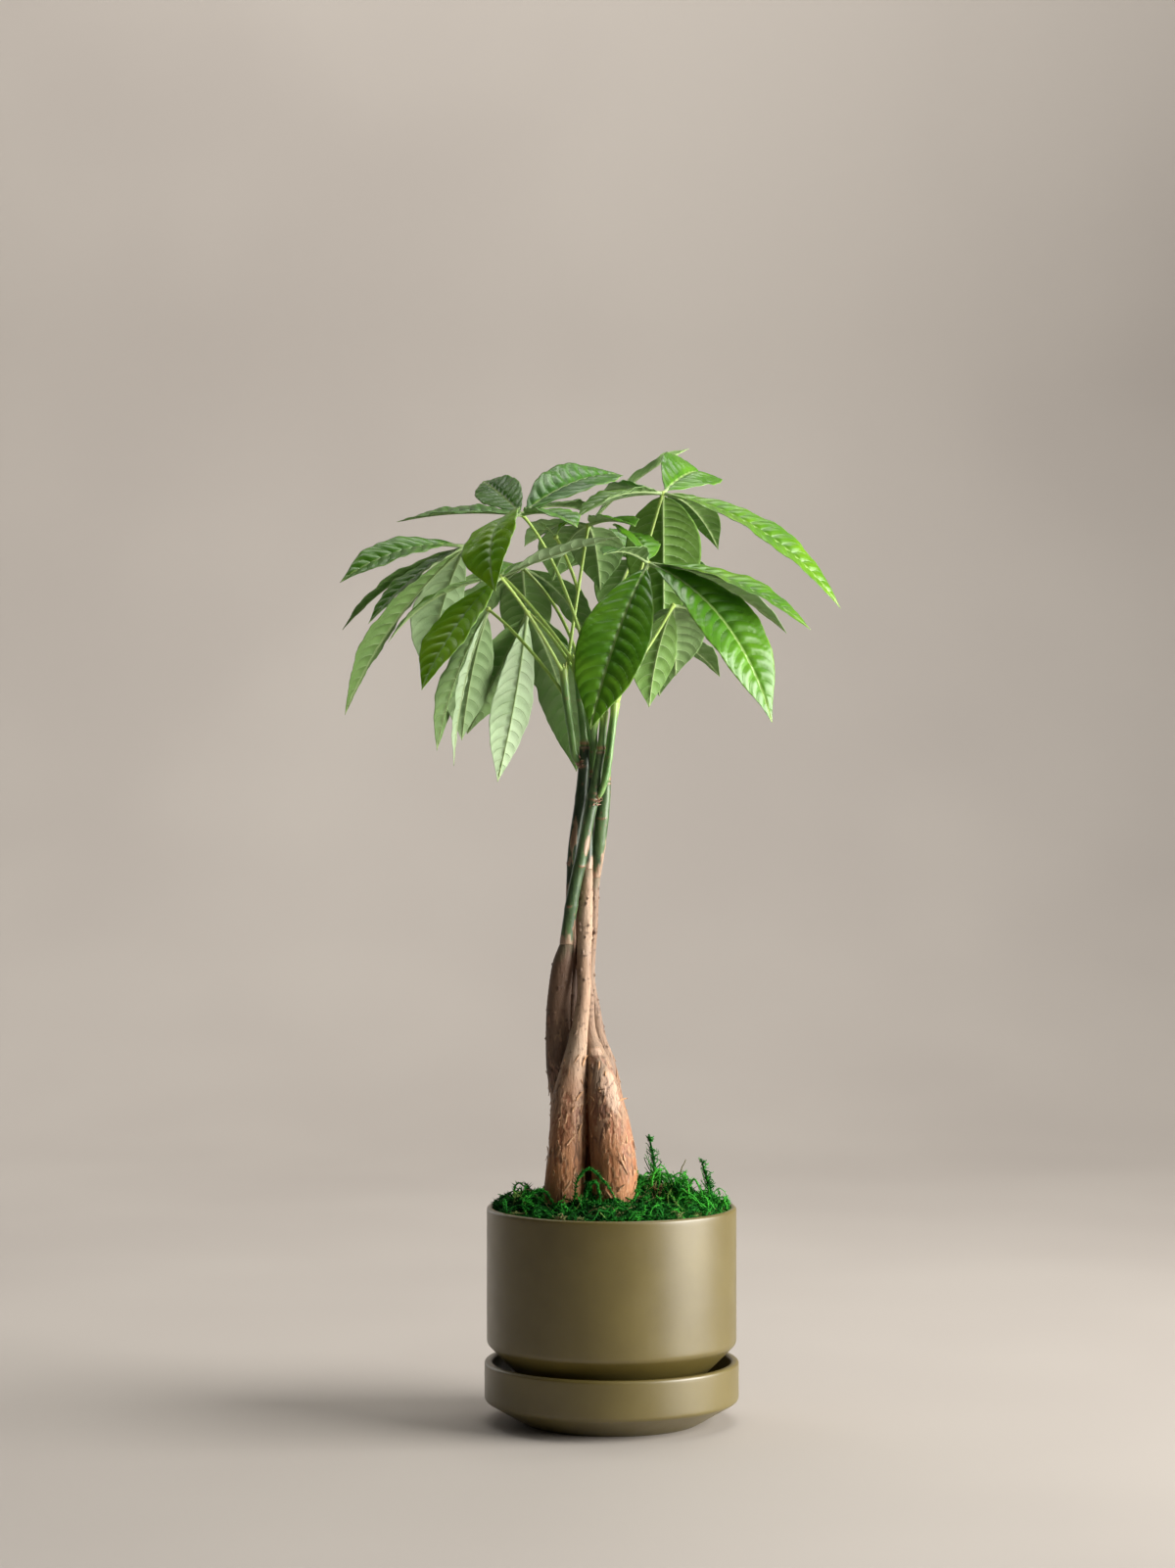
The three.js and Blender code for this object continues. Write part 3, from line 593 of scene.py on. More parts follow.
def soil_material():
    s = Shader("potting_soil")
    crumbs = s.noise(420.0, 6.0)
    colour = s.mix(s.fit(crumbs, 0.35, 0.65), (0.012, 0.008, 0.005), (0.055, 0.035, 0.02))
    bits = s.fit(s.noise(900.0, 2.0), 0.68, 0.74)
    colour = s.mix(bits, colour, (0.16, 0.11, 0.065))
    return s.finish(s.surface(colour, 0.95, (crumbs, 0.002, 1.0)))


def bark_material(name, painted_light_tint):
    """Papery tan bark over a redder inner layer, with dark cracks and scars."""
    s = Shader(name)
    layer, scar, green = s.painted("paint")
    low, ridge, patch = s.painted("shade")
    fibre = s.noise(170.0, 5.0, stretch=(6, 6, 1))
    cloud = s.fit(s.noise(55.0, 4.0, stretch=(1, 1, 0.5)), 0.32, 0.68)
    brown = s.mix(cloud, (0.17, 0.1, 0.06), (0.29, 0.19, 0.125))
    brown = s.mix(s.fit(s.noise(28.0, 2.0), 0.45, 0.75), brown, (0.27, 0.195, 0.135))
    # Painted light and shade: the upper bark's colour times a tint, lighter on a lit trunk, darker on
    # trunks in shadow.
    brown = s.mix(1.0, brown, painted_light_tint, "MULTIPLY")
    rust = s.mix(cloud, (0.3, 0.108, 0.036), (0.43, 0.195, 0.08))
    inner = s.mix(low, s.mix(cloud, (0.2, 0.1, 0.06), (0.3, 0.17, 0.11)),
                  s.mix(cloud, (0.27, 0.088, 0.03), (0.36, 0.14, 0.052)))
    colour = s.mix(layer, inner, s.mix(low, brown, rust))
    colour = s.over(colour, s.fit(fibre, 0.54, 0.7), 0.45, (0.11, 0.045, 0.022))
    colour = s.over(colour, s.fit(fibre, 0.44, 0.3), 0.25, (0.48, 0.3, 0.17))
    colour = s.over(colour, ridge, 0.5, (0.56, 0.37, 0.21))
    colour = s.mix(patch, colour, s.mix(cloud, (0.42, 0.265, 0.175), (0.5, 0.34, 0.24)))
    colour = s.mix(scar, colour, (0.06, 0.03, 0.018))
    colour = s.mix(green, colour, (0.07, 0.105, 0.05))
    height = s.math("MULTIPLY_ADD", s.noise(700.0, 4.0, stretch=(3, 3, 1)), 0.4, fibre)
    roughness = s.fit(cloud, 0.0, 1.0, 0.5, 0.75)
    return s.finish(s.surface(colour, roughness, (height, 0.00045, 0.9)))


def stem_material(name, dark, light, specks):
    """Green rind with pale specks and brown scars, corky tan where the paint says so."""
    s = Shader(name)
    cork, scar, glow = s.painted("paint")
    streak = s.noise(90.0, 4.0, stretch=(4, 4, 0.5))
    colour = s.mix(s.fit(streak, 0.3, 0.75), dark, light)
    colour = s.over(colour, s.fit(s.noise(900.0, 1.0), 0.66, 0.72), 0.4, specks)
    colour = s.mix(glow, colour, (0.42, 0.55, 0.12))
    tan = s.mix(s.fit(streak, 0.4, 0.65), (0.23, 0.145, 0.09), (0.43, 0.31, 0.215))
    colour = s.mix(cork, colour, tan)
    colour = s.mix(scar, colour, (0.28, 0.12, 0.075))
    inside = {"Subsurface Weight": 0.05, "Subsurface Scale": 0.002}
    return s.finish(s.surface(colour, 0.42, (streak, 0.0002, 0.7), inside))


def leaf_veins(s, edge):
    """Masks of a leaflet's net of small veins, its side veins and its midrib."""
    across, _, vein = s.painted("paint")
    values = {"Vector": s.place(), "Scale": 620.0}
    cells = s.node("TexVoronoi", values, feature="DISTANCE_TO_EDGE")
    net = s.fit(cells, 0.0, 0.12, 1.0, 0.0)
    width = s.fit(edge, 0.0, 1.0, 0.09, 0.03, smooth=False)
    near = s.math("DIVIDE", s.math("PINGPONG", vein, 0.5), width)
    side = s.math("SUBTRACT", 1.0, near, clamp=True)
    side = s.math("MULTIPLY", side, s.fit(edge, 0.75, 1.0, 1.0, 0.0))
    midrib = s.fit(s.math("ABSOLUTE", across), 0.045, 0.1, 1.0, 0.0)
    return net, side, midrib


def finish_leaf(s, face, glow):
    """Lets some light through a leaf's face."""
    through = s.node("BsdfTranslucent", {"Color": glow})
    return s.finish(s.node("MixShader", {0: THROUGH_LEAF, 1: face, 2: through}))


def leaf_upper_material():
    """Glossy upper face: dark to lime green, with pale veins and a quilted surface."""
    s = Shader("leaf_upper")
    freshness_and_light, edge, _ = s.painted("shade")
    net, side, midrib = leaf_veins(s, edge)
    cloud = s.fit(s.noise(38.0, 3.0), 0.3, 0.7)
    dark = s.mix(cloud, (0.028, 0.142, 0.009), (0.07, 0.25, 0.02))
    lime = s.mix(cloud, (0.15, 0.38, 0.005), (0.28, 0.52, 0.012))
    blotch = s.fit(s.noise(24.0, 3.0), 0.42, 0.62, -0.18, 0.22)
    blotch = s.math("MULTIPLY", blotch, s.fit(freshness_and_light, 0.1, 0.8))
    # Dark to lime by the first shade value: the leaflet's freshness, and for some leaflets painted light.
    colour = s.mix(s.math("ADD", freshness_and_light, blotch, clamp=True), dark, lime)
    colour = s.over(colour, net, 0.05, (0.16, 0.36, 0.07))
    colour = s.over(colour, side, 0.4, (0.2, 0.42, 0.09))
    colour = s.over(colour, midrib, 0.9, (0.4, 0.62, 0.17))
    # Painted highlight: a thin light line along the margin, where light catches the edge.
    colour = s.over(colour, s.fit(edge, 0.955, 0.99), 0.5, (0.34, 0.52, 0.12))
    height = s.math("MULTIPLY_ADD", side, -0.8, s.math("MULTIPLY", net, -0.07))
    face = s.surface(colour, 0.27, (height, 0.0003, 0.8), {"Specular IOR Level": 0.55})
    return finish_leaf(s, face, s.mix(freshness_and_light, (0.12, 0.38, 0.015), (0.4, 0.62, 0.02)))


def leaf_lower_material():
    """Matt, paler lower face, with raised veins."""
    s = Shader("leaf_lower")
    freshness_and_light, edge, pale = s.painted("shade")
    net, side, midrib = leaf_veins(s, edge)
    cloud = s.fit(s.noise(45.0, 3.0), 0.3, 0.7)
    dull = s.mix(cloud, (0.085, 0.19, 0.012), (0.135, 0.28, 0.028))
    # Pale underside: partly its own paleness, partly painted light, set paler so hanging leaflets look lit.
    light = s.mix(cloud, (0.55, 0.75, 0.44), (0.64, 0.82, 0.53))
    colour = s.mix(pale, dull, light)
    colour = s.over(colour, net, 0.08, (0.36, 0.5, 0.22))
    colour = s.over(colour, side, 0.45, (0.42, 0.56, 0.27))
    colour = s.over(colour, midrib, 0.7, (0.5, 0.64, 0.3))
    height = s.math("MULTIPLY_ADD", side, 1.0, s.math("MULTIPLY", net, 0.12))
    face = s.surface(colour, 0.55, (height, 0.0003, 0.9), {"Specular IOR Level": 0.3})
    return finish_leaf(s, face, s.mix(freshness_and_light, (0.15, 0.4, 0.025), (0.4, 0.66, 0.04)))


def moss_material():
    """Dyed moss, from deep to bright green, with some strands left tan; the brightest green is a painted
    highlight.
    """
    s = Shader("dyed_moss")
    bright, tan, _ = s.painted("paint")
    cloud = s.fit(s.noise(110.0, 4.0), 0.35, 0.65)
    tone = s.math("MULTIPLY_ADD", cloud, 0.25, bright, clamp=True)
    colour = s.mix(tone, (0.0006, 0.016, 0.003), (0.012, 0.2, 0.014))
    # Painted highlight: the highest tones turn a brighter green.
    colour = s.mix(s.fit(tone, 0.6, 1.0), colour, (0.05, 0.38, 0.03))
    straw = s.mix(cloud, (0.25, 0.16, 0.06), (0.5, 0.38, 0.2))
    bump = (s.noise(1600.0, 2.0), 0.0002, 1.0)
    surface = s.surface(s.mix(tan, colour, straw), 0.7, bump, {"Specular IOR Level": 0.1})
    return s.finish(surface)


# -------- pot and saucer


def rounded(corners, closed):
    """A dense outline through corners of radius, height and rounding, with how near an edge it is."""
    count = len(corners)
    points, edges = [], []
    for i, (r, z, fillet) in enumerate(corners):
        here = np.array([r, z], float)
        if not closed and i in (0, count - 1) or not fillet:
            points.append(here[None])
        else:
            back = np.array(corners[i - 1][:2], float) - here
            on = np.array(corners[(i + 1) % count][:2], float) - here
            u, v = unit(back), unit(on)
            half = math.acos(np.clip(u @ v, -1, 1)) / 2
            reach = fillet / math.tan(half)
            centre = here + unit(u + v) * fillet / math.sin(half)
            turn = math.pi - 2 * half
            share = np.linspace(0, 1, 9)[:, None]
            a, b = here + u * reach - centre, here + v * reach - centre
            arc = (np.sin((1 - share) * turn) * a + np.sin(share * turn) * b) / math.sin(turn)
            points.append(centre + arc)
            if u[0] * v[1] - u[1] * v[0] > 0:
                edges.append(here + unit(u + v) * fillet * (1 / math.sin(half) - 1))
    outline = np.vstack(points)
    if closed:
        outline = np.vstack([outline, outline[:1]])
    dense = [outline[:1]]
    for a, b in zip(outline[:-1], outline[1:]):
        pieces = max(1, int(np.linalg.norm(b - a) / 2.0))
        dense.append(a + (b - a) * (np.arange(1, pieces + 1) / pieces)[:, None])
    dense = np.vstack(dense)
    if closed:
        dense = dense[:-1]
    gaps = np.linalg.norm(dense[:, None] - np.array(edges)[None], axis=-1)
    return dense, np.exp(-((gaps.min(axis=1) / 1.1) ** 2))


def turned(node, material, corners, closed):
    """A piece turned round the middle line, its paint saying where the glaze breaks over an edge."""
    outline, edge = rounded(corners, closed)
    if not closed:
        ends, outline, edge = outline[[0, -1]], outline[1:-1], edge[1:-1]
    points = outline[:, None, :1] * facing(circle(TURNED_SIDES)) + outline[:, None, 1:] * UP
    wear = edge[:, None] * (noise(points / 9.0, 3) * 0.25 + 0.85)
    points, paint = points.reshape(-1, 3), stacked(wear, 0, 0).reshape(-1, 3)
    faces = tube_faces(len(outline), TURNED_SIDES)
    if closed:
        side = np.arange(TURNED_SIDES)
        after = (side + 1) % TURNED_SIDES
        last = (len(outline) - 1) * TURNED_SIDES
        faces = [faces[0], stacked(last + side, last + after, after, side)]
    else:
        points = np.vstack([points, ends[:, 1:] * UP])
        paint = np.vstack([paint, np.zeros((2, 3))])
    skin = Skin()
    skin.add(points, faces, paint=paint)
    skin.make(node + "_glazed", node + "_glaze", [material], node)


def make_pot(material):
    inner = POT_RADIUS - POT_WALL
    inner_foot = POT_FOOT_RADIUS - POT_WALL
    chamfer_top = POT_CHAMFER_LOW + POT_RADIUS - POT_FOOT_RADIUS
    slant_low = POT_CHAMFER_LOW + POT_WALL * math.tan(math.pi / 8)
    slant_top = slant_low + inner - inner_foot
    ring_inner = POT_FOOT_RADIUS - POT_FOOT_RING
    corners = [
        (DRAIN_RADIUS, POT_RECESS, 0.6), (ring_inner, POT_RECESS, 0.8), (ring_inner, POT_BASE, 0.7),
        (POT_FOOT_RADIUS, POT_BASE, 0.9), (POT_FOOT_RADIUS, POT_CHAMFER_LOW, 3),
        (POT_RADIUS, chamfer_top, 4.5), (POT_RADIUS, POT_TOP, 1.7), (inner, POT_TOP, 1.7),
        (inner, slant_top, 2), (inner_foot, slant_low, 2), (inner_foot, POT_FLOOR, 2),
        (DRAIN_RADIUS, POT_FLOOR, 0.6),
    ]
    turned("pot", material, corners, True)


def make_saucer(material):
    inner = SAUCER_RADIUS - SAUCER_WALL
    corners = [
        (0, 0, 0), (SAUCER_FOOT_RADIUS, 0, 1.5), (SAUCER_RADIUS, SAUCER_SHOULDER, 3),
        (SAUCER_RADIUS, SAUCER_TOP, 1.7), (inner, SAUCER_TOP, 1.7),
        (inner, SAUCER_INNER_SHOULDER, 5), (SAUCER_FLOOR_RADIUS, SAUCER_FLOOR, 6),
        (0, SAUCER_FLOOR, 0),
    ]
    turned("saucer", material, corners, False)


# -------- trunks, stems and shoots

# Places where the outer bark has come off one of the trunks: trunk, height, angle in degrees,
# half height and half width.
BARE_PATCHES = [
    (1, 186, -60, 12, 4.4), (1, 207, -75, 2.4, 3.6), (0, 190, -40, 6, 1.6), (3, 172, 60, 12, 3.4),
    (4, 160, 120, 10, 3.0), (2, 178, 190, 12, 2.6), (0, 150, 190, 10, 3.0), (1, 168, 100, 12, 4.0),
]
# The flakes that stand out most: trunk, height, angle in degrees, length, width, lean and curl.
SEEN_FLAKES = [
    (1, 147, -68, 15, 0.9, -0.35, 1.2), (1, 187, -100, 4.5, 0.8, 1.4, 1.3),
    (1, 168, -88, 4, 1.0, 0.2, 1.0), (0, 163, -52, 10, 1.8, 0.05, 0.9),
    (1, 181, -28, 5, 0.8, 1.3, 1.6), (1, 133, -75, 5, 1.4, 0.5, 1.1),
    (0, 176, -75, 4, 1.0, 0.2, 0.8), (0, 142, -60, 5, 1.2, 0.1, 0.9),
]
# Painted light and shade: trunk_1 gets the lighter copy of the bark, trunk_3 and trunk_5 the darker copy.
BARK_PAINTED_LIGHT = (2, 0, 1, 0, 1)  # of each trunk: 0 plain, 1 dark, 2 light
# Corky places on the stems: stem, height, angle in degrees, half height and half width.
CORK_PATCHES = [
    (2, 323, -45, 6.5, 2.6), (3, 309, -25, 15, 2.3), (4, 325, -110, 13, 1.8), (2, 276, -30, 4, 1.4),
    (0, 330, 60, 12, 2.0), (1, 312, 90, 10, 2.0), (4, 342, 100, 9, 2.0),
]
# Scars of fallen leaves and shoots: stem, height, angle in degrees and half width.
STEM_SCARS = [
    (2, 310.5, -62, 2.3), (3, 337, -95, 2.8), (2, 347.5, -62, 3.4), (2, 351, -50, 2.6),
    (4, 366, -125, 3.0), (4, 369, -135, 2.4), (4, 312, -150, 1.8), (2, 288, -110, 1.6),
    (0, 352, 0, 2.2), (1, 340, 80, 2.4), (3, 322, 120, 2.2), (4, 350, 60, 2.2),
]
# Dry bud scales at the foot of a shoot: stem, height, angle in degrees and number.
BUD_SCALES = [(2, 346.5, -62, 9), (2, 349, -35, 6), (4, 367, -125, 8), (4, 370, -140, 5)]
# Painted shade: these stems stand in shadow and get a darker copy of the rind.
STEMS_IN_PAINTED_SHADE = (0, 1, 4)  # the stems whose rind is darker


class Rod:
    """A plain rod in level rings at the given heights, on which a rind is laid."""

    def __init__(self, points, heights, sides):
        line = at_heights(points, heights)
        self.angle, self.high = circle(sides), np.repeat(heights[:, None], sides, axis=1)
        self.centre, self.out = line[:, None, :3], facing(self.angle)[None]
        self.radius = np.repeat(line[:, 3:], sides, axis=1)
        self.flat = self.centre + self.radius[..., None] * self.out

    def noise(self, across, along, seed):
        return noise(self.flat / [across, across, along], seed)

    def rough_noise(self, across, along, seed):
        return rough_noise(self.flat / [across, across, along], seed, 2)

    def away_from(self, height, around):
        """How far round, and how far above, each point lies from a place on the rod."""
        away = (self.angle[None] - around + math.pi) % (2 * math.pi) - math.pi
        return away * self.radius, self.high - height

    def patch(self, height, degrees, half_height, half_width):
        """How far each point lies from a patch's middle, as a share of the patch's half size."""
        arc, above = self.away_from(height, math.radians(degrees))
        return np.hypot(arc / half_width, above / half_height)

    def scars(self, marks):
        """How far each point lies on a leaf scar, of marks of height, angle and half width."""
        total = np.zeros_like(self.high)
        for height, around, half in marks:
            arc, above = self.away_from(height, around)
            level = above - 0.25 * np.abs(arc)
            total = np.maximum(total, np.exp(-((arc / half) ** 4) - (level / 0.55) ** 2))
        return total

    def swell(self, marks, size, reach):
        """How far the rod swells at the heights of marks."""
        return sum(size * np.exp(-((self.high - mark[0]) / reach) ** 2) for mark in marks)


def add_rod(skin, centre, radius, out, paint, shade=None):
    surface = centre + radius[..., None] * out
    points = np.vstack([surface.reshape(-1, 3), centre[0], centre[-1]])

    def capped(values):
        return np.vstack([values.reshape(-1, 3), values[0, :1], values[-1, :1]])

    shade = (0, 0, 0) if shade is None else capped(shade)
    skin.add(points, tube_faces(*radius.shape), 0, capped(paint), shade)


def wound_marks(low, high, spacing, first_angle, half):
    """Marks of height, angle and half width, evenly wound up a rod."""
    count = int((high - low) / spacing)
    return [(low + spacing * (i + 0.5), first_angle + GOLDEN_ANGLE * i, half) for i in range(count)]


def random_marks(count, low, high, least, most):
    """Marks at random heights and angles, of half widths from least to most."""
    ranges = (low, high), (0, 2 * math.pi), (least, most)
    return stacked(*[chance.uniform(*ends, count) for ends in ranges])


def bark_surface(rod, number):
    """The bark's height over the plain rod, and what is painted on it."""
    high, top, seed = rod.high, rod.high[-1, 0], 20 * number
    calm = ease(BARK_ROUGH_TOP, BARK_CALM_LOW, high)
    fibre = rod.rough_noise(1.3, 9.0, seed)
    lump = rod.noise(8.0, 15.0, seed + 5)
    bent = rod.flat + 0.8 * rod.noise(3.0, 7.0, seed + 6)[..., None]
    crack = 1 - np.abs(noise(bent / [1.9, 1.9, 12.0], seed + 15))
    crack = ease(0.84, 0.97, crack) * (1 - calm) * ease(-0.5, 0.2, lump)
    plates = rod.noise(2.2, 7.0, seed + 7) + 0.5 * rod.noise(0.9, 2.6, seed + 9)
    level = plates + 0.42 + 0.9 * calm + 0.5 * rod.noise(9.0, 14.0, seed + 8)
    layer = ease(-0.06, 0.06, level)
    ridge = np.exp(-((level - 0.07) / 0.07) ** 2) * (1 - 0.9 * calm)
    patch = np.zeros_like(high)
    for bare in rows_of(BARE_PATCHES, number):
        far = rod.patch(*bare) + 0.4 * rod.noise(2.0, 4.5, seed + 11)
        patch = np.maximum(patch, ease(1.0, 0.9, far))
        ridge = np.maximum(ridge, np.exp(-((far - 1.03) / 0.06) ** 2))
    layer = layer * (1 - patch)
    ticks = random_marks(int((top - TICK_LOW) * 0.5), TICK_LOW, top - 5, 0.5, 1.3)
    marks = wound_marks(WOUND_LOW, top - 6, WOUND_SPACING, 1.9 * number, 1.8)
    scar = np.maximum(rod.scars(marks), 0.8 * rod.scars(ticks))
    knob = np.zeros_like(high)
    for _ in range(int((top - BARK_ROUGH_TOP) * 0.24)):
        place = chance.uniform(BARK_ROUGH_TOP, top - 6), chance.uniform(0, 2 * math.pi)
        far = np.hypot(*rod.away_from(*place)) / chance.uniform(0.55, 0.95)
        knob = np.maximum(knob, np.exp(-far**4))
    rise = 0.16 * fibre * (1 - 0.6 * calm) + 0.85 * knob + 0.45 * lump * ease(0, 6, rod.radius)
    rise = rise + 0.28 * (layer - 0.5) + 0.25 * scar - 0.4 * crack + 0.12 * ridge
    wrinkle = np.sin(high * 2.1 + 3 * lump) * 0.05 * calm
    rise = (rise + wrinkle) * ease(top, top - 10, high)
    low = ease(200, 140, high + 14 * lump)
    green = 0.35 * ease(top - 7, top - 1, high + 6 * rod.noise(2.2, 6.0, seed + 13))
    dark = np.maximum(np.maximum(0.75 * scar, 0.65 * crack), 0.75 * knob)
    return rise, stacked(layer, dark, green), stacked(low, ridge, patch)


def flake(skin, centre_line, height, degrees, length, width, lean, curl):
    """A loose flake of bark that stands off a trunk, its middle stuck to it."""
    steps, across = 9, 3
    u = np.linspace(-0.5, 0.5, steps)[:, None]
    v = np.linspace(-0.5, 0.5, across)[None]
    ragged = noise(np.array([height, length, degrees]) + 7 * u * [1, 0, 0], 31)[:, None]
    taper = np.clip(1.2 - np.abs(2 * u) ** 1.6, 0.1, 1) * (1 + 0.5 * ragged)
    z = height + u * length * math.cos(lean) - v * width * taper * math.sin(lean)
    ring = at_heights(centre_line, z.ravel())
    arc = u * length * math.sin(lean) + v * width * taper * math.cos(lean)
    radius = ring[:, 3].reshape(z.shape)
    out = facing(math.radians(degrees) + arc / radius)
    lift = 0.16 + curl * np.maximum(0, u + 0.2) ** 2 * 4 + 0.3 * curl * np.abs(2 * v) ** 2
    ring = ring[:, :3].reshape(*z.shape, 3)
    points = [ring + (radius + lift + level)[..., None] * out for level in (0.12, -0.1)]
    faces = [part[:, ::-1] for part in sheet_faces(steps, across)]
    skin.add(np.stack(points), faces, 0, (1, 0, 0), (1, 0.9, 0))


def make_trunks(barks):
    for number, trunk in enumerate(TRUNKS):
        wood = trunk["wood"]
        top = wood[-1][2]
        buried = np.linspace(ROOT_DEPTH, SOIL_TOP, 7)
        seen = np.arange(SOIL_TOP + TRUNK_STEP, top - 0.4, TRUNK_STEP)
        rod = Rod(wood, np.concatenate([buried, seen, [top]]), TRUNK_SIDES)
        rise, paint, shade = bark_surface(rod, number)
        rise = rise * ease(SOIL_TOP - 10, SOIL_TOP, rod.high)
        skin = Skin()
        add_rod(skin, rod.centre, rod.radius + rise, rod.out, paint, shade)
        for row in rows_of(SEEN_FLAKES, number):
            flake(skin, wood, *row)
        for _ in range(FLAKES):
            height = FLAKE_LOW + (FLAKE_TOP - FLAKE_LOW) * chance.random() ** 1.4
            length = chance.uniform(2, 8)
            lean = chance.normal(0, 0.3) + math.pi * chance.integers(0, 2)
            curl = chance.uniform(0.05, 0.4) if chance.random() < 0.8 else chance.uniform(0.5, 1.1)
            flake(skin, wood, height, chance.uniform(0, 360), length, chance.uniform(0.4, 1.4),
                  lean, curl)
        bark = barks[BARK_PAINTED_LIGHT[number]]
        skin.make(f"bark_trunk_{number + 1}", "bark", [bark], f"trunk_{number + 1}")


def bud_scales(skin, stem, height, degrees, count):
    for _ in range(count):
        turn = math.radians(degrees + chance.normal(0, 22))
        x, y, z, radius = at_heights(stem, np.array([height + chance.normal(0, 0.9)]))[0]
        out = facing(turn)
        side = np.cross(UP, out)
        heading = 0.5 * out + chance.normal(0, 0.7) * side + chance.normal(0.3, 0.6) * UP
        s = np.linspace(0, 1, 7)[:, None]
        reach = chance.uniform(1.6, 3.2)
        spine = np.array([x, y, z]) + (radius - 0.2) * out + reach * (s * unit(heading) + 0.2 * s**2 * out)
        radii = chance.uniform(0.35, 0.6) * np.array([0.6, 1.0, 1.0, 0.85, 0.6, 0.35, 0.1])
        skin.add_tube(spine, radii, 6, paint=(1, chance.uniform(0.0, 0.6), 0))


def make_stems(rinds):
    for number, trunk in enumerate(TRUNKS):
        stem = trunk["stem"]
        low, top = stem[0][2], stem[-1][2]
        rod = Rod(stem, np.concatenate([np.arange(low, top - 0.3, STEM_STEP), [top]]), STEM_SIDES)
        high, seed = rod.high, 200 + 20 * number
        marks = [(height, math.radians(degrees), half)
                 for height, degrees, half in rows_of(STEM_SCARS, number)]
        scar = rod.scars(marks)
        nick = rod.scars(random_marks(12, low, top, 0.3, 0.6))
        cork = ease(low + 8, low + 3, high + 5 * rod.noise(1.5, 5.0, seed))
        for patch in rows_of(CORK_PATCHES, number):
            far = rod.patch(*patch) + 1.1 * rod.rough_noise(1.1, 6.0, seed + 3)
            cork = np.maximum(cork, ease(1.0, 0.7, far))
        rise = 0.04 * rod.rough_noise(1.2, 7.0, seed + 1) + 0.12 * cork
        rise = rise + 0.35 * scar + 0.15 * nick
        rise = (rise + rod.swell(marks, 0.22, 2.2)) * ease(low - 0.1, low + 3, high)
        collar = np.exp(-((high - top + 1.0) / 0.7) ** 2)
        paint = stacked(np.maximum(cork, 0.75 * collar), np.maximum(0.85 * scar, 0.6 * nick), 0)
        skin = Skin()
        add_rod(skin, rod.centre, rod.radius + rise + 0.3 * collar, rod.out, paint)
        for row in rows_of(BUD_SCALES, number):
            bud_scales(skin, stem, *row)
        rind = rinds[number in STEMS_IN_PAINTED_SHADE]
        skin.make(f"rind_stem_{number + 1}", "stem", [rind], f"stem_{number + 1}")


def make_shoots(rind):
    for order, (name, points) in enumerate(SHOOTS.items()):
        low, top = points[0][2], points[-1][2]
        rod = Rod(points, np.concatenate([np.arange(low, top - 0.3, SHOOT_STEP), [top]]), SHOOT_SIDES)
        high, seed = rod.high, 400 + 10 * order
        marks = wound_marks(low + 6, top - 4, SHOOT_SCAR_SPACING, 2.0 * order, 1.3)
        scar = rod.scars(marks)
        rise = 0.05 * rod.rough_noise(1.1, 6.0, seed) + 0.14 * scar + rod.swell(marks, 0.16, 2.0)
        foot = np.exp(-((high - low - 1.6) / 1.1) ** 2)
        rise = rise + 0.35 * foot * (1 + 0.4 * rod.noise(0.9, 0.9, seed + 2))
        paint = stacked(0, np.maximum(0.85 * foot, 0.5 * scar), 0.5 * ease(top - 12, top, high))
        radius = rod.radius + rise
        cap = [rod.centre[-1:] + lift * UP for lift in (0.5, 0.95, 1.25)]
        centre = np.concatenate([rod.centre, *cap])
        radius = np.concatenate([radius, radius[-1:] * np.array([[0.93], [0.78], [0.5]])])
        paint = np.concatenate([paint, np.repeat(paint[-1:], 3, axis=0)])
        skin = Skin()
        add_rod(skin, centre, radius, rod.out, paint)
        for i in range(3):
            lean = facing(GOLDEN_ANGLE * (i + order))
            start = centre[-1, 0] + 1.1 * lean - 0.9 * UP
            spine = start + np.linspace(0, 1, 7)[:, None] * (0.9 * lean + (4.2 - 0.6 * i) * UP)
            radii = np.array([0.75, 0.8, 0.75, 0.62, 0.45, 0.28, 0.1])
            skin.add_tube(spine, radii, 8, paint=(0, 0.15, 0.75))
        skin.make(f"rind_{name}", "shoot", [rind], name)


# -------- leaves

# Shares across each half of a blade, closer together at the midrib and at the margin.
HALF_ACROSS = np.array([0.05, 0.13, 0.24, 0.36, 0.49, 0.62, 0.75, 0.86, 0.94, 1.0])
ACROSS = np.concatenate([-HALF_ACROSS[::-1], [0.0], HALF_ACROSS])
UPPER, LOWER, STALK = range(3)  # the order of a leaf's materials


def blade_half(along):
    """Half the width of a blade, as a share of its full width."""
    body = np.sin(math.pi * along**1.15) ** 0.9
    drawn_out = 1 - 0.4 * np.maximum(0, (along - 0.75) / 0.25) ** 1.5
    return 0.5 * body * drawn_out


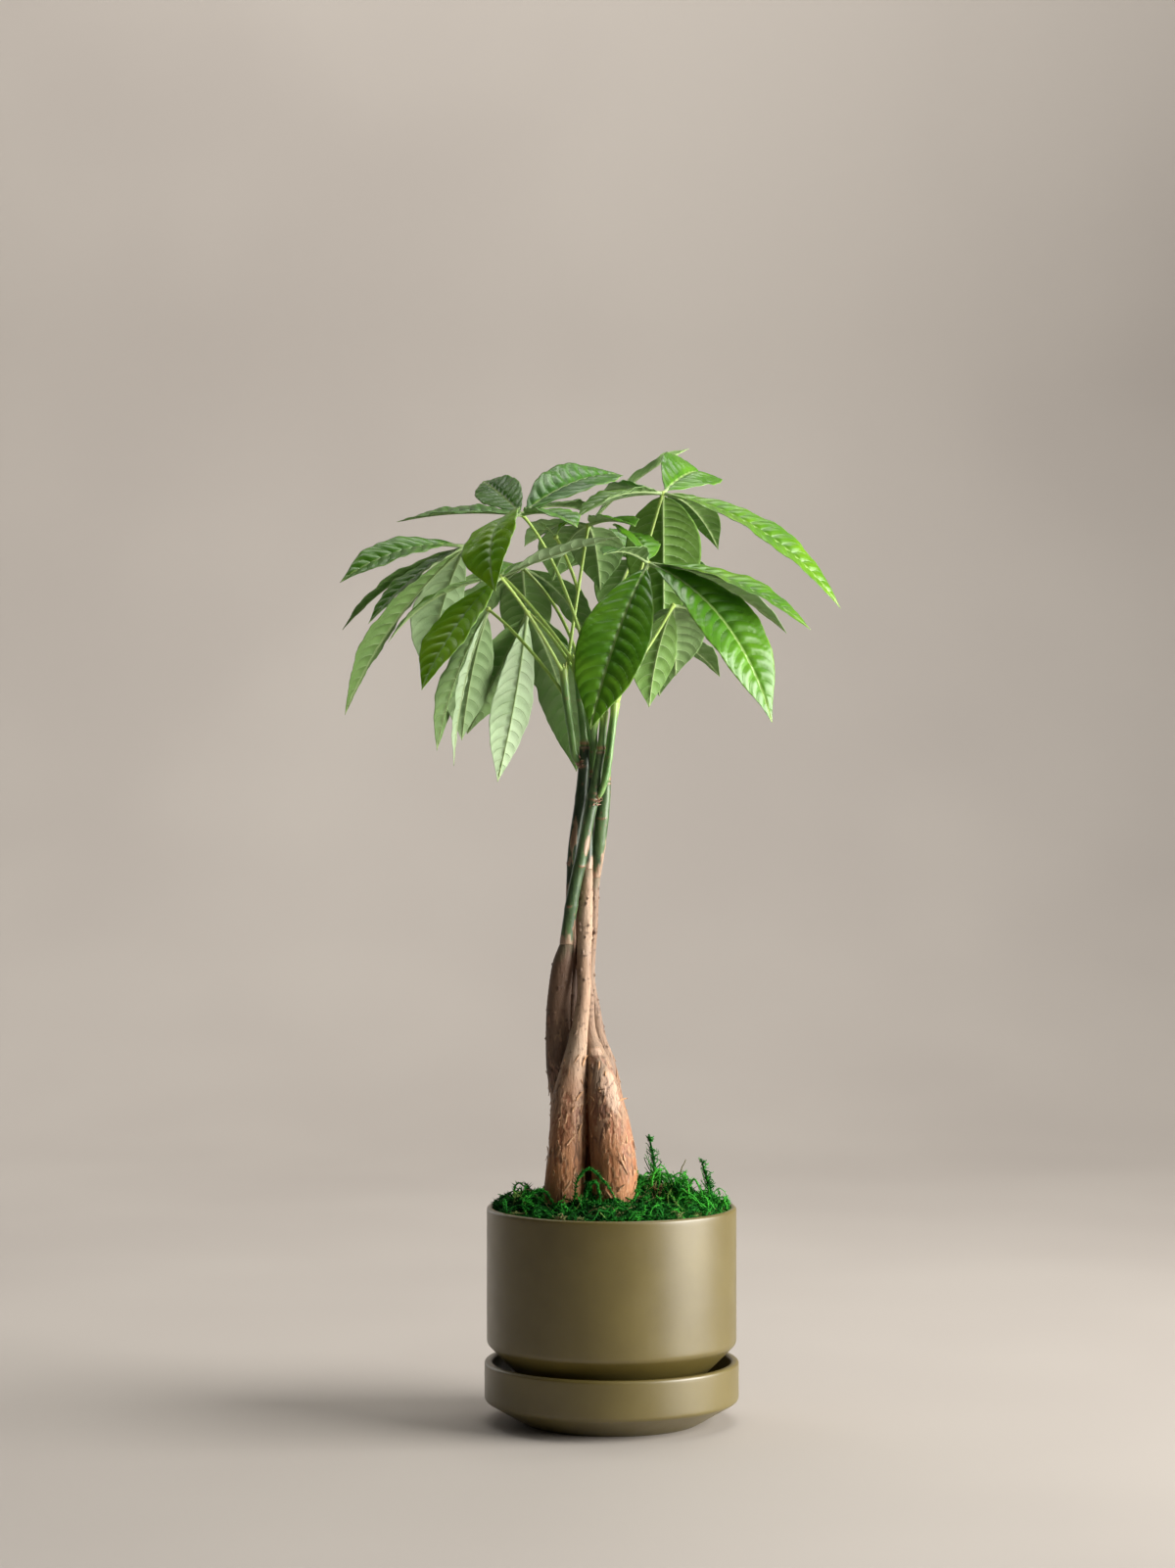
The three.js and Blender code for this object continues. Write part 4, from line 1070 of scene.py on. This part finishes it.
def add_leaflet(skin, hub, leaflet, phase, fold, freshness_and_light, pale):
    """A closed thin blade with puffed fields between its side veins, and its midrib below it."""
    *tip, width, rise, roll = leaflet
    chord = np.array(tip, float) - hub
    length = np.linalg.norm(chord)
    along = chord / length
    level_up = unit(UP - along * along[2])
    turn = math.radians(roll)
    up = level_up * math.cos(turn) + np.cross(along, level_up) * math.sin(turn)
    side = np.cross(along, up)

    def midrib(s):
        """The arched line of the midrib, and the way that the blade faces along it."""
        rib = hub + chord * s + up * (4 * rise * s * (1 - s))
        return rib, np.cross(side, unit(chord + up * (4 * rise * (1 - 2 * s))))

    steps = max(24, int(length * 1.25))
    s = np.linspace(0, 1, steps)[:, None]
    t = ACROSS[None]
    rib, normal = midrib(s)
    least = np.where(s > 0.9, LEAFLET_TIP_HALF, LEAFLET_ROOT_HALF)
    opened = ease(-2, PETIOLULE, s * length)
    half = np.maximum(least, width * blade_half(np.minimum(s, 0.9995)) * opened)
    size = half / (width / 2)
    wave = BLADE_WAVE * size * np.sin(2 * math.pi * BLADE_WAVES * s + phase)
    wave = wave + 0.35 * size * np.sin(2 * math.pi * 7.3 * s + 2.1 * phase)
    reach = np.abs(t)
    arched = reach * (1.3 - 0.3 * reach)
    lift = arched * (half * math.sin(fold)) + reach**1.5 * np.sign(t) * wave
    ahead = reach * half * (0.25 + 0.6 * reach**2)
    vein = (s * length - ahead) / VEIN_SPACING + 0.25 * np.sign(t) + 40
    puff = np.abs(np.sin(math.pi * vein)) ** 0.7
    field = ease(0.0, 0.14, reach) * (1 - 0.75 * reach**3) * size**0.7 * ease(0.0, 0.06, s)
    lift = lift + PUFF * width * puff * field
    thick = BLADE_THICKNESS * (1 - 0.45 * reach**4) * np.minimum(1, 0.55 + size)
    place = rib[:, None] + (t * half * math.cos(fold))[..., None] * side
    points = [place + (lift + part)[..., None] * normal[:, None] for part in (thick / 2, -thick / 2)]
    paint = stacked(t * half / 10, s, vein)
    shade = np.broadcast_to(stacked(freshness_and_light, reach, pale), place.shape)
    paint, shade = (np.vstack([part.reshape(-1, 3)] * 2) for part in (paint, shade))
    skin.add(np.stack(points), sheet_faces(steps, len(ACROSS)), [UPPER, LOWER, LOWER], paint, shade)

    s = np.linspace(0, 0.97, 48)[:, None] ** 1.3
    rib, normal = midrib(s)
    s = s[:, 0]
    bare = np.exp(-((s * length / PETIOLULE) ** 2))
    radii = min(1.0, width / 26) * (0.2 + 0.5 * (1 - s) ** 1.2 + 0.42 * bare)
    spine = rib - normal * ((0.42 * radii * (1 - bare))[:, None])
    skin.add_tube(spine, radii, 8, LOWER, (0, 0, 0.5), (freshness_and_light, 0, pale))


def add_stalk(skin, start, hub, bow, freshness_and_light):
    start = np.array(start, float)
    a, b = (start + (hub - start) * share + bow for share in STALK_BENDS)
    t = np.linspace(0, 1, STALK_STEPS)[:, None]
    spine = (1 - t) ** 3 * start + 3 * t * (1 - t) ** 2 * a + 3 * t**2 * (1 - t) * b + t**3 * hub
    t = t[:, 0]
    ends = np.exp(-((t / 0.05) ** 2)) + 0.8 * np.exp(-(((1 - t) / 0.03) ** 2))
    radii = STALK_RADIUS * (0.98 - 0.14 * t + 0.4 * ends)
    glow = 0.3 + 0.35 * freshness_and_light + 0.25 * np.concatenate([np.repeat(t, STALK_SIDES), [0, 1]])
    skin.add_tube(spine, radii, STALK_SIDES, STALK, stacked(0, 0, glow))


def add_hub(skin, hub):
    """The swollen knot where leaflets meet."""
    t = np.linspace(-0.98, 0.98, 11)
    spine = hub + HUB_RADIUS * 0.8 * t[:, None] * UP
    skin.add_tube(spine, HUB_RADIUS * 0.85 * np.sqrt(1 - t**2), 16, STALK, (0, 0, 0.8))


def add_leaf(skin, name, leaf):
    hub = np.array(leaf["hub"], float)
    tones = LEAFLET_TONES.get(name, {})
    for i, leaflet in enumerate(leaf["leaflets"]):
        tone = tones.get(i, (leaf["freshness_and_light"], PLAIN_PALENESS))
        freshness_and_light, pale = tone + chance.uniform(-0.06, 0.06, 2)
        fold = GENTLE_FOLD if (name, i) in GENTLY_FOLDED else BLADE_FOLD
        add_leaflet(skin, hub, leaflet, BLADE_WAVE_SHIFT * i, fold, freshness_and_light, pale)
    add_stalk(skin, leaf["from"], hub, np.array(leaf["bow"], float), leaf["freshness_and_light"])
    add_hub(skin, hub)
    if "young" in leaf:
        add_leaf(skin, name + "_young", leaf["young"])


def make_leaves(materials):
    for name, leaf in LEAVES.items():
        skin = Skin()
        add_leaf(skin, name, leaf)
        skin.make(name.replace("leaf_", "foliage_"), "leaf", materials, name)


# -------- moss

TUFTS = [
    [[26, 4, 122, 6], [25, 4, 136, 4.6], [23, 3, 149, 2.8], [21, 2, 160, 1.0]],
    [[57, -2, 116, 5], [56, -2, 126, 4.0], [53, -3, 137, 2.6], [50, -4, 147, 1.6]],
    [[38, -14, 116, 7], [37, -14, 128, 5], [39, -15, 136, 2.4]],
]
TWIG = [[35, 1, 126], [38, 0.5, 134], [39, 0, 140], [41.5, 0, 146]]
# Longer strands that arch over the rest, as points: first those between the two front trunks.
ARCHES = [
    [[-21, -27, 124], [-19, -28, 138], [-12.5, -29, 144], [-5, -29, 138], [0, -29, 131], [4, -30, 121]],
    [[-16, -30, 124], [-13, -31, 134], [-9, -31, 137], [-7, -31, 130], [-6, -32, 122]],
    [[-52, -18, 120], [-46, -22, 129], [-38, -22, 131], [-32, -24, 124]],
    [[14, 28, 124], [26, 30, 134], [38, 28, 132], [50, 24, 122]],
    [[-40, 30, 122], [-30, 36, 131], [-18, 42, 130], [-8, 44, 121]],
]
# Where strands are tan instead of green: centre x and y, reach, and number of strands.
TAN_SPOTS = [(-30, -60, 2.6, 16), (3, -36, 8, 70), (25, -8, 5, 26)]
# Places where the moss stands higher: centre x and y, reach, and height.
BUSHES = [
    (-50, -14, 9, 6), (-41, -22, 8, 4), (-47, 12, 12, 6), (-15, -34, 8, 2), (24, 0, 13, 12),
    (40, -4, 10, 9), (54, 2, 9, 6), (44, -24, 9, 3), (28, 30, 14, 8), (-12, 48, 14, 4),
]


def mound(x, y, centre, spread):
    return np.exp(-((x - centre[0]) ** 2 + (y - centre[1]) ** 2) / spread)


def bush_height(x, y):
    return sum(height * mound(x, y, (bx, by), reach**2) for bx, by, reach, height in BUSHES)


def moss_height(x, y):
    main = MOSS_MOUND * mound(x, y, TRUNK_FOOT, MOSS_MOUND_SPREAD)
    side = MOSS_SIDE_MOUND * mound(x, y, SIDE_MOUND_CENTRE, MOSS_SIDE_SPREAD)
    lumps = np.sin(x * 0.31 + 1) * np.cos(y * 0.27) + 0.6 * np.sin(x * 0.13 - y * 0.52)
    return MOSS_RIM + main + side + MOSS_LUMPS * lumps + 0.5 * bush_height(x, y)


# The trunks' centres and radii at the moss.
TRUNK_FEET = [at_heights(trunk["wood"], np.array([MOSS_LEVEL]))[0] for trunk in TRUNKS]


def keep_clear(x, y):
    """Moves points out of the trunks and in from the pot's wall."""
    for foot in TRUNK_FEET:
        dx, dy = x - foot[0], y - foot[1]
        far = np.maximum(np.hypot(dx, dy), 0.01)
        push = np.maximum(far, foot[3] + 0.5) / far
        x, y = foot[0] + dx * push, foot[1] + dy * push
    far = np.maximum(np.hypot(x, y), 0.01)
    pull = np.minimum(far, MOSS_RADIUS - 0.6) / far
    return x * pull, y * pull


def mat(skin):
    """The dark, lumpy body of the moss, under its strands: its darkness is painted shade of the depths
    between them.
    """
    rings, around = 46, 150
    radius = np.linspace(0.02, 0.99, rings)[::-1, None] * (MOSS_RADIUS - 0.3)
    out = facing(circle(around))
    x, y = radius * out[:, 0], radius * out[:, 1]
    flat = stacked(x, y, moss_height(x, y) - 1.6)
    top = flat + 1.3 * rough_noise(flat / 5.0, 61, 3)[..., None] * UP
    wall = [[MOSS_RADIUS * out + level * UP] for level in (SOIL_TOP + 0.3, MOSS_RIM - 3.5)]
    ends = [[[0, 0, SOIL_TOP + 0.3]], top[-1].mean(axis=0)[None]]
    points = np.vstack([np.concatenate([*wall, top]).reshape(-1, 3), *ends])
    # Painted shade: a low tone, so the body is darker than the strands over it.
    tone = 0.1 + 0.15 * rough_noise(points / 4.0, 65, 2)
    skin.add(points, tube_faces(rings + 2, around), 0, stacked(tone, 0, 0))


def add_scales(skin, spines, size, tone, tan=0, gap=0.065, spread=0.95):
    """Small pointed scales along both sides of each strand, as closed four-faced bodies."""
    heading = unit(np.gradient(spines, axis=1))
    side = unit(np.cross(heading, UP) + 1e-6)
    above = np.cross(side, heading)
    count, steps = spines.shape[:2]
    size = np.broadcast_to(size, count)[:, None]
    faces = [np.array([[0, 1, 2], [0, 3, 1], [1, 3, 2], [2, 3, 0]])]
    for share in np.arange(gap, 0.99, gap):
        place = share * (steps - 1)
        low = int(place)
        part = place - low
        base = spines[:, low] * (1 - part) + spines[:, min(low + 1, steps - 1)] * part
        along, across, over = heading[:, low], side[:, low], above[:, low]
        narrow = 1.15 - 0.75 * share
        for hand in (-1, 1):
            turn = chance.uniform(-1.0, 1.0, (count, 1))
            reach = size * narrow * chance.uniform(0.6, 1.35, (count, 1))
            out = hand * across * np.cos(turn) + over * np.sin(turn)
            tip = base + reach * unit(along * 0.8 + out * spread)
            thick = np.cross(along, out) * hand
            foot = along * 0.15 * size
            a, b, c = base + foot, base - foot, base + thick * 0.11 * size
            inside_out = np.sum(np.cross(b - a, c - a) * (tip - a), axis=-1) > 0
            corners = np.stack([a, b, c, tip], axis=1)
            corners[inside_out] = corners[inside_out][:, [1, 0, 2, 3]]
            shade = np.clip(tone + chance.uniform(-0.12, 0.22, count) + 0.22 * share, 0, 1)
            skin.add_copies(corners, faces, stacked(shade, tan, 0))


def add_strands(skin, spines, thickness, tone, tan=0):
    count, steps = spines.shape[:2]
    taper = np.linspace(1.0, 0.35, steps) * np.broadcast_to(thickness, count)[:, None]
    rings = tubes(spines, taper, STRAND_SIDES)
    skin.add_copies(rings, tube_faces(steps, STRAND_SIDES), stacked(tone, tan, 0))


def lying_strands(x, y, length, lift, curl):
    """Curled strands that lie on the moss from x, y, arching up by lift."""
    count = len(x)
    s = np.linspace(0, 1, STRAND_STEPS)[None]
    turn = chance.uniform(0, 2 * math.pi, (count, 1)) + curl[:, None] * s
    turn = turn + 0.7 * np.sin(2 * math.pi * (s * 1.3 + chance.random((count, 1))))
    step = (length / (STRAND_STEPS - 1))[:, None]
    x = x[:, None] + np.cumsum(np.cos(turn) * step, axis=1)
    y = y[:, None] + np.cumsum(np.sin(turn) * step, axis=1)
    x, y = keep_clear(x, y)
    free_end = chance.random((count, 1)) < 0.4
    shape = np.where(free_end, s**1.3, np.sin(math.pi * s**0.85))
    z = moss_height(x, y) - 1.4 + lift[:, None] * shape + 0.3 * np.sin(9 * s + 6 * turn)
    return stacked(x, y, z)


def add_tuft(skin, tuft):
    """A raised feathery tuft: a few stems, with short curled strands all round them."""
    count = TUFT_STRANDS
    share = np.sort(chance.random(count) ** 0.85 * 0.95)
    base = smooth_line(tuft, share)
    turn = np.arange(count) * GOLDEN_ANGLE + chance.normal(0, 0.4, count)
    s = np.linspace(0, 1, STRAND_STEPS)[None]
    wind = turn[:, None] + chance.normal(0, 1.6, (count, 1)) * s
    reach = (base[:, 3] * chance.uniform(0.6, 1.7, count))[:, None]
    rise = reach * (chance.uniform(-0.1, 1.6, (count, 1)) * s**1.4 + 0.25 * np.sin(5 * s + wind))
    spines = base[:, None, :3] + (reach * s)[..., None] * facing(wind) + rise[..., None] * UP
    tone = np.clip(chance.normal(0.42, 0.2, count), 0.02, 0.9)
    add_strands(skin, spines, chance.uniform(0.25, 0.5, count), tone)
    add_scales(skin, spines, 1.6, tone, gap=0.1, spread=0.8)
    s = np.linspace(0, 1, 30)
    for turn in (0, 2.1, 4.2):
        bend = 0.8 * facing(turn + 9 * s) * (1 - 0.7 * s[:, None])
        spine = (smooth_line(tuft, s)[:, :3] + bend)[None]
        add_strands(skin, spine, 0.6, 0.25)
        add_scales(skin, spine, 2.2, 0.3, gap=0.035, spread=0.8)


def make_moss(material):
    skin = Skin()
    mat(skin)
    count = STRANDS
    radius = (MOSS_RADIUS - 1) * np.sqrt(chance.random(count))
    angle = chance.uniform(0, 2 * math.pi, count)
    x, y = keep_clear(radius * np.cos(angle), radius * np.sin(angle))
    length = chance.uniform(*STRAND_LENGTHS, count)
    lift = chance.gamma(1.6, 1.5, count) + 0.7 * bush_height(x, y) * chance.random(count)
    spines = lying_strands(x, y, length, lift, chance.normal(0, 1.6, count))
    clump = noise(stacked(x / 9, y / 9, 0), 71)
    # Tone: clumps and chance of the dye, plus painted light and shade: higher strands lighter, and lighter
    # to the right, towards the light.
    tone = 0.03 + 0.26 * clump + chance.normal(0, 0.12, count) + 0.06 * lift + 0.003 * (x + 5)
    tone = np.clip(tone, 0.0, 0.85)
    straw = np.where(chance.random(count) < 0.06, 0.35, 0.0)
    add_strands(skin, spines, chance.uniform(*STRAND_RADII, count), tone, straw)
    add_scales(skin, spines, chance.uniform(*SCALE_SIZES, count), tone, straw)

    for x0, y0, reach, number in TAN_SPOTS:
        x, y = (start + chance.normal(0, reach / 2, number) for start in (x0, y0))
        length = chance.uniform(5, 12, number)
        lift = chance.uniform(1.5, 4.5, number)
        spines = lying_strands(x, y, length, lift, chance.normal(0, 5, number))
        add_strands(skin, spines, 0.25, 0.5, chance.uniform(0.5, 1.0, number))

    s = np.linspace(0, 1, 26)
    for points in ARCHES:
        line = smooth_line(points, s)[None]
        for turn in (0, 2.1, 4.2):
            wind = turn + 14 * s
            add_strands(skin, line + 0.5 * stacked(0, np.cos(wind), np.sin(wind)), 0.5, 0.3)
        for _ in range(3):
            add_scales(skin, line, 3.6, 0.35, gap=0.025, spread=1.0)
    for tuft in TUFTS:
        add_tuft(skin, tuft)
    skin.make("moss_curled", "moss", [material], "moss")


def make_twig(material):
    skin = Skin()
    line = smooth_line(TWIG, np.linspace(0, 1, 24))
    line = line + 0.25 * stacked(*[noise(line / 2.0, seed) for seed in (81, 82, 83)])
    skin.add_tube(line, np.linspace(0.55, 0.22, 24), 8, paint=(0.4, 0.5, 0))
    skin.make("moss_twig", "moss", [material])


# -------- floor, light and camera

# In metres: each light's name, place, aim, and width and height, then its power in watts, its colour
# and its spread in degrees.
LIGHTS = [
    ("window", (1.42, -0.36, 0.7), (0, 0, 0.6), (1.25, 1.3), 38, (1.0, 0.97, 0.93), 120),
    ("overhead", (0.3, 0.3, 2.3), (0, 0, 0.4), (1.3, 1.3), 15, (1.0, 0.98, 0.95), 180),
    ("back_left", (-1.2, 1.4, 0.7), (0, 0, 0.3), (0.7, 1.2), 2.5, (0.97, 0.98, 1.0), 180),
    ("front_soft", (0.7, -1.6, 1.5), (0, 0, 0.4), (1.0, 0.8), 3, (1.0, 0.98, 0.96), 180),
    ("wall_wash", (0.0, 0.9, 2.4), (0, 2.3, 0.9), (2.6, 0.8), 38, (1.0, 0.96, 0.92), 180),
]
WORLD_STRENGTH = 0.045


def make_stage():
    """A pale floor that curves up behind, larger than the view."""
    s = Shader("pale_floor")
    tone = s.fit(s.noise(2.0, 2.0), 0.3, 0.7)
    colour = s.mix(tone, (0.43, 0.395, 0.36), (0.47, 0.435, 0.395))
    material = s.finish(s.node("BsdfPrincipled", {"Base Color": colour, "Roughness": 0.7}))
    front, back, bend, height, half = -2.6, 2.2, 0.9, 3.2, 4.0
    turn = np.linspace(0, math.pi / 2, 25)
    y = np.concatenate([[front, 0.0], back - bend + bend * np.sin(turn), [back]])
    z = np.concatenate([[0.0, 0.0], bend - bend * np.cos(turn), [height]])
    points = [(x, b, c) for b, c in zip(y, z) for x in (-half, half)]
    faces = [(2 * i, 2 * i + 1, 2 * i + 3, 2 * i + 2) for i in range(len(y) - 1)]
    mesh = bpy.data.meshes.new("floor")
    mesh.from_pydata(points, [], faces)
    mesh.polygons.foreach_set("use_smooth", [True] * len(faces))
    mesh.materials.append(material)
    floor = placed("floor", mesh)


def add_light(name, place, aim, size, power, colour, spread):
    data = bpy.data.lights.new(name, "AREA")
    data.shape = "RECTANGLE"
    data.size, data.size_y = size
    data.energy = power
    data.spread = math.radians(spread)
    data.color = colour
    light = placed(name, data)
    light.location = place
    x, y, z = np.array(place) - aim
    light.rotation_euler = (math.atan2(math.hypot(x, y), z), 0, math.atan2(x, -y))


def make_lights():
    """Dim all-round light, a soft window at the right, and softer lights round the room."""
    world = bpy.data.worlds.new("studio")
    world.use_nodes = True
    background = world.node_tree.nodes["Background"]
    background.inputs[0].default_value = (0.95, 0.93, 0.9, 1)
    background.inputs[1].default_value = WORLD_STRENGTH
    bpy.context.scene.world = world
    for light in LIGHTS:
        add_light(*light)


def make_camera():
    """Level, at the photograph's distance and height."""
    data = bpy.data.cameras.new("camera")
    data.lens = CAMERA_LENS
    data.sensor_width = CAMERA_SENSOR
    camera = placed("camera", data)
    camera.location = CAMERA_PLACE
    camera.rotation_euler = (math.pi / 2, 0, 0)
    bpy.context.scene.camera = camera


# -------- the whole

make_camera()
make_lights()
make_stage()

glaze = glaze_material()
make_pot(glaze)
make_saucer(glaze)
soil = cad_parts["soil"]
soil.data.materials.clear()
soil.data.materials.append(soil_material())
moss = moss_material()
make_moss(moss)
make_twig(moss)
# The bark in three copies: plain, darker as painted shade, and lighter as painted light.
make_trunks([
    bark_material("bark", (1, 1, 1)),
    bark_material("bark_painted_shade", (0.62, 0.56, 0.52)),
    bark_material("bark_painted_light", (1.5, 1.5, 1.5)),
])
# The stems' rind in two copies: plain, and darker as painted shade.
make_stems([
    stem_material("stem_rind", (0.028, 0.06, 0.022), (0.105, 0.175, 0.065), (0.2, 0.28, 0.13)),
    stem_material("stem_rind_painted_shade", (0.014, 0.03, 0.013), (0.045, 0.08, 0.035), (0.12, 0.16, 0.09)),
])
shoot_rind = stem_material("shoot_rind", (0.08, 0.19, 0.045), (0.2, 0.35, 0.1), (0.26, 0.38, 0.15))
make_shoots(shoot_rind)
stalk_rind = stem_material("stalk_rind", (0.16, 0.33, 0.05), (0.28, 0.46, 0.1), (0.34, 0.48, 0.16))
make_leaves([leaf_upper_material(), leaf_lower_material(), stalk_rind])

bpy.context.scene.view_settings.view_transform = "Standard"
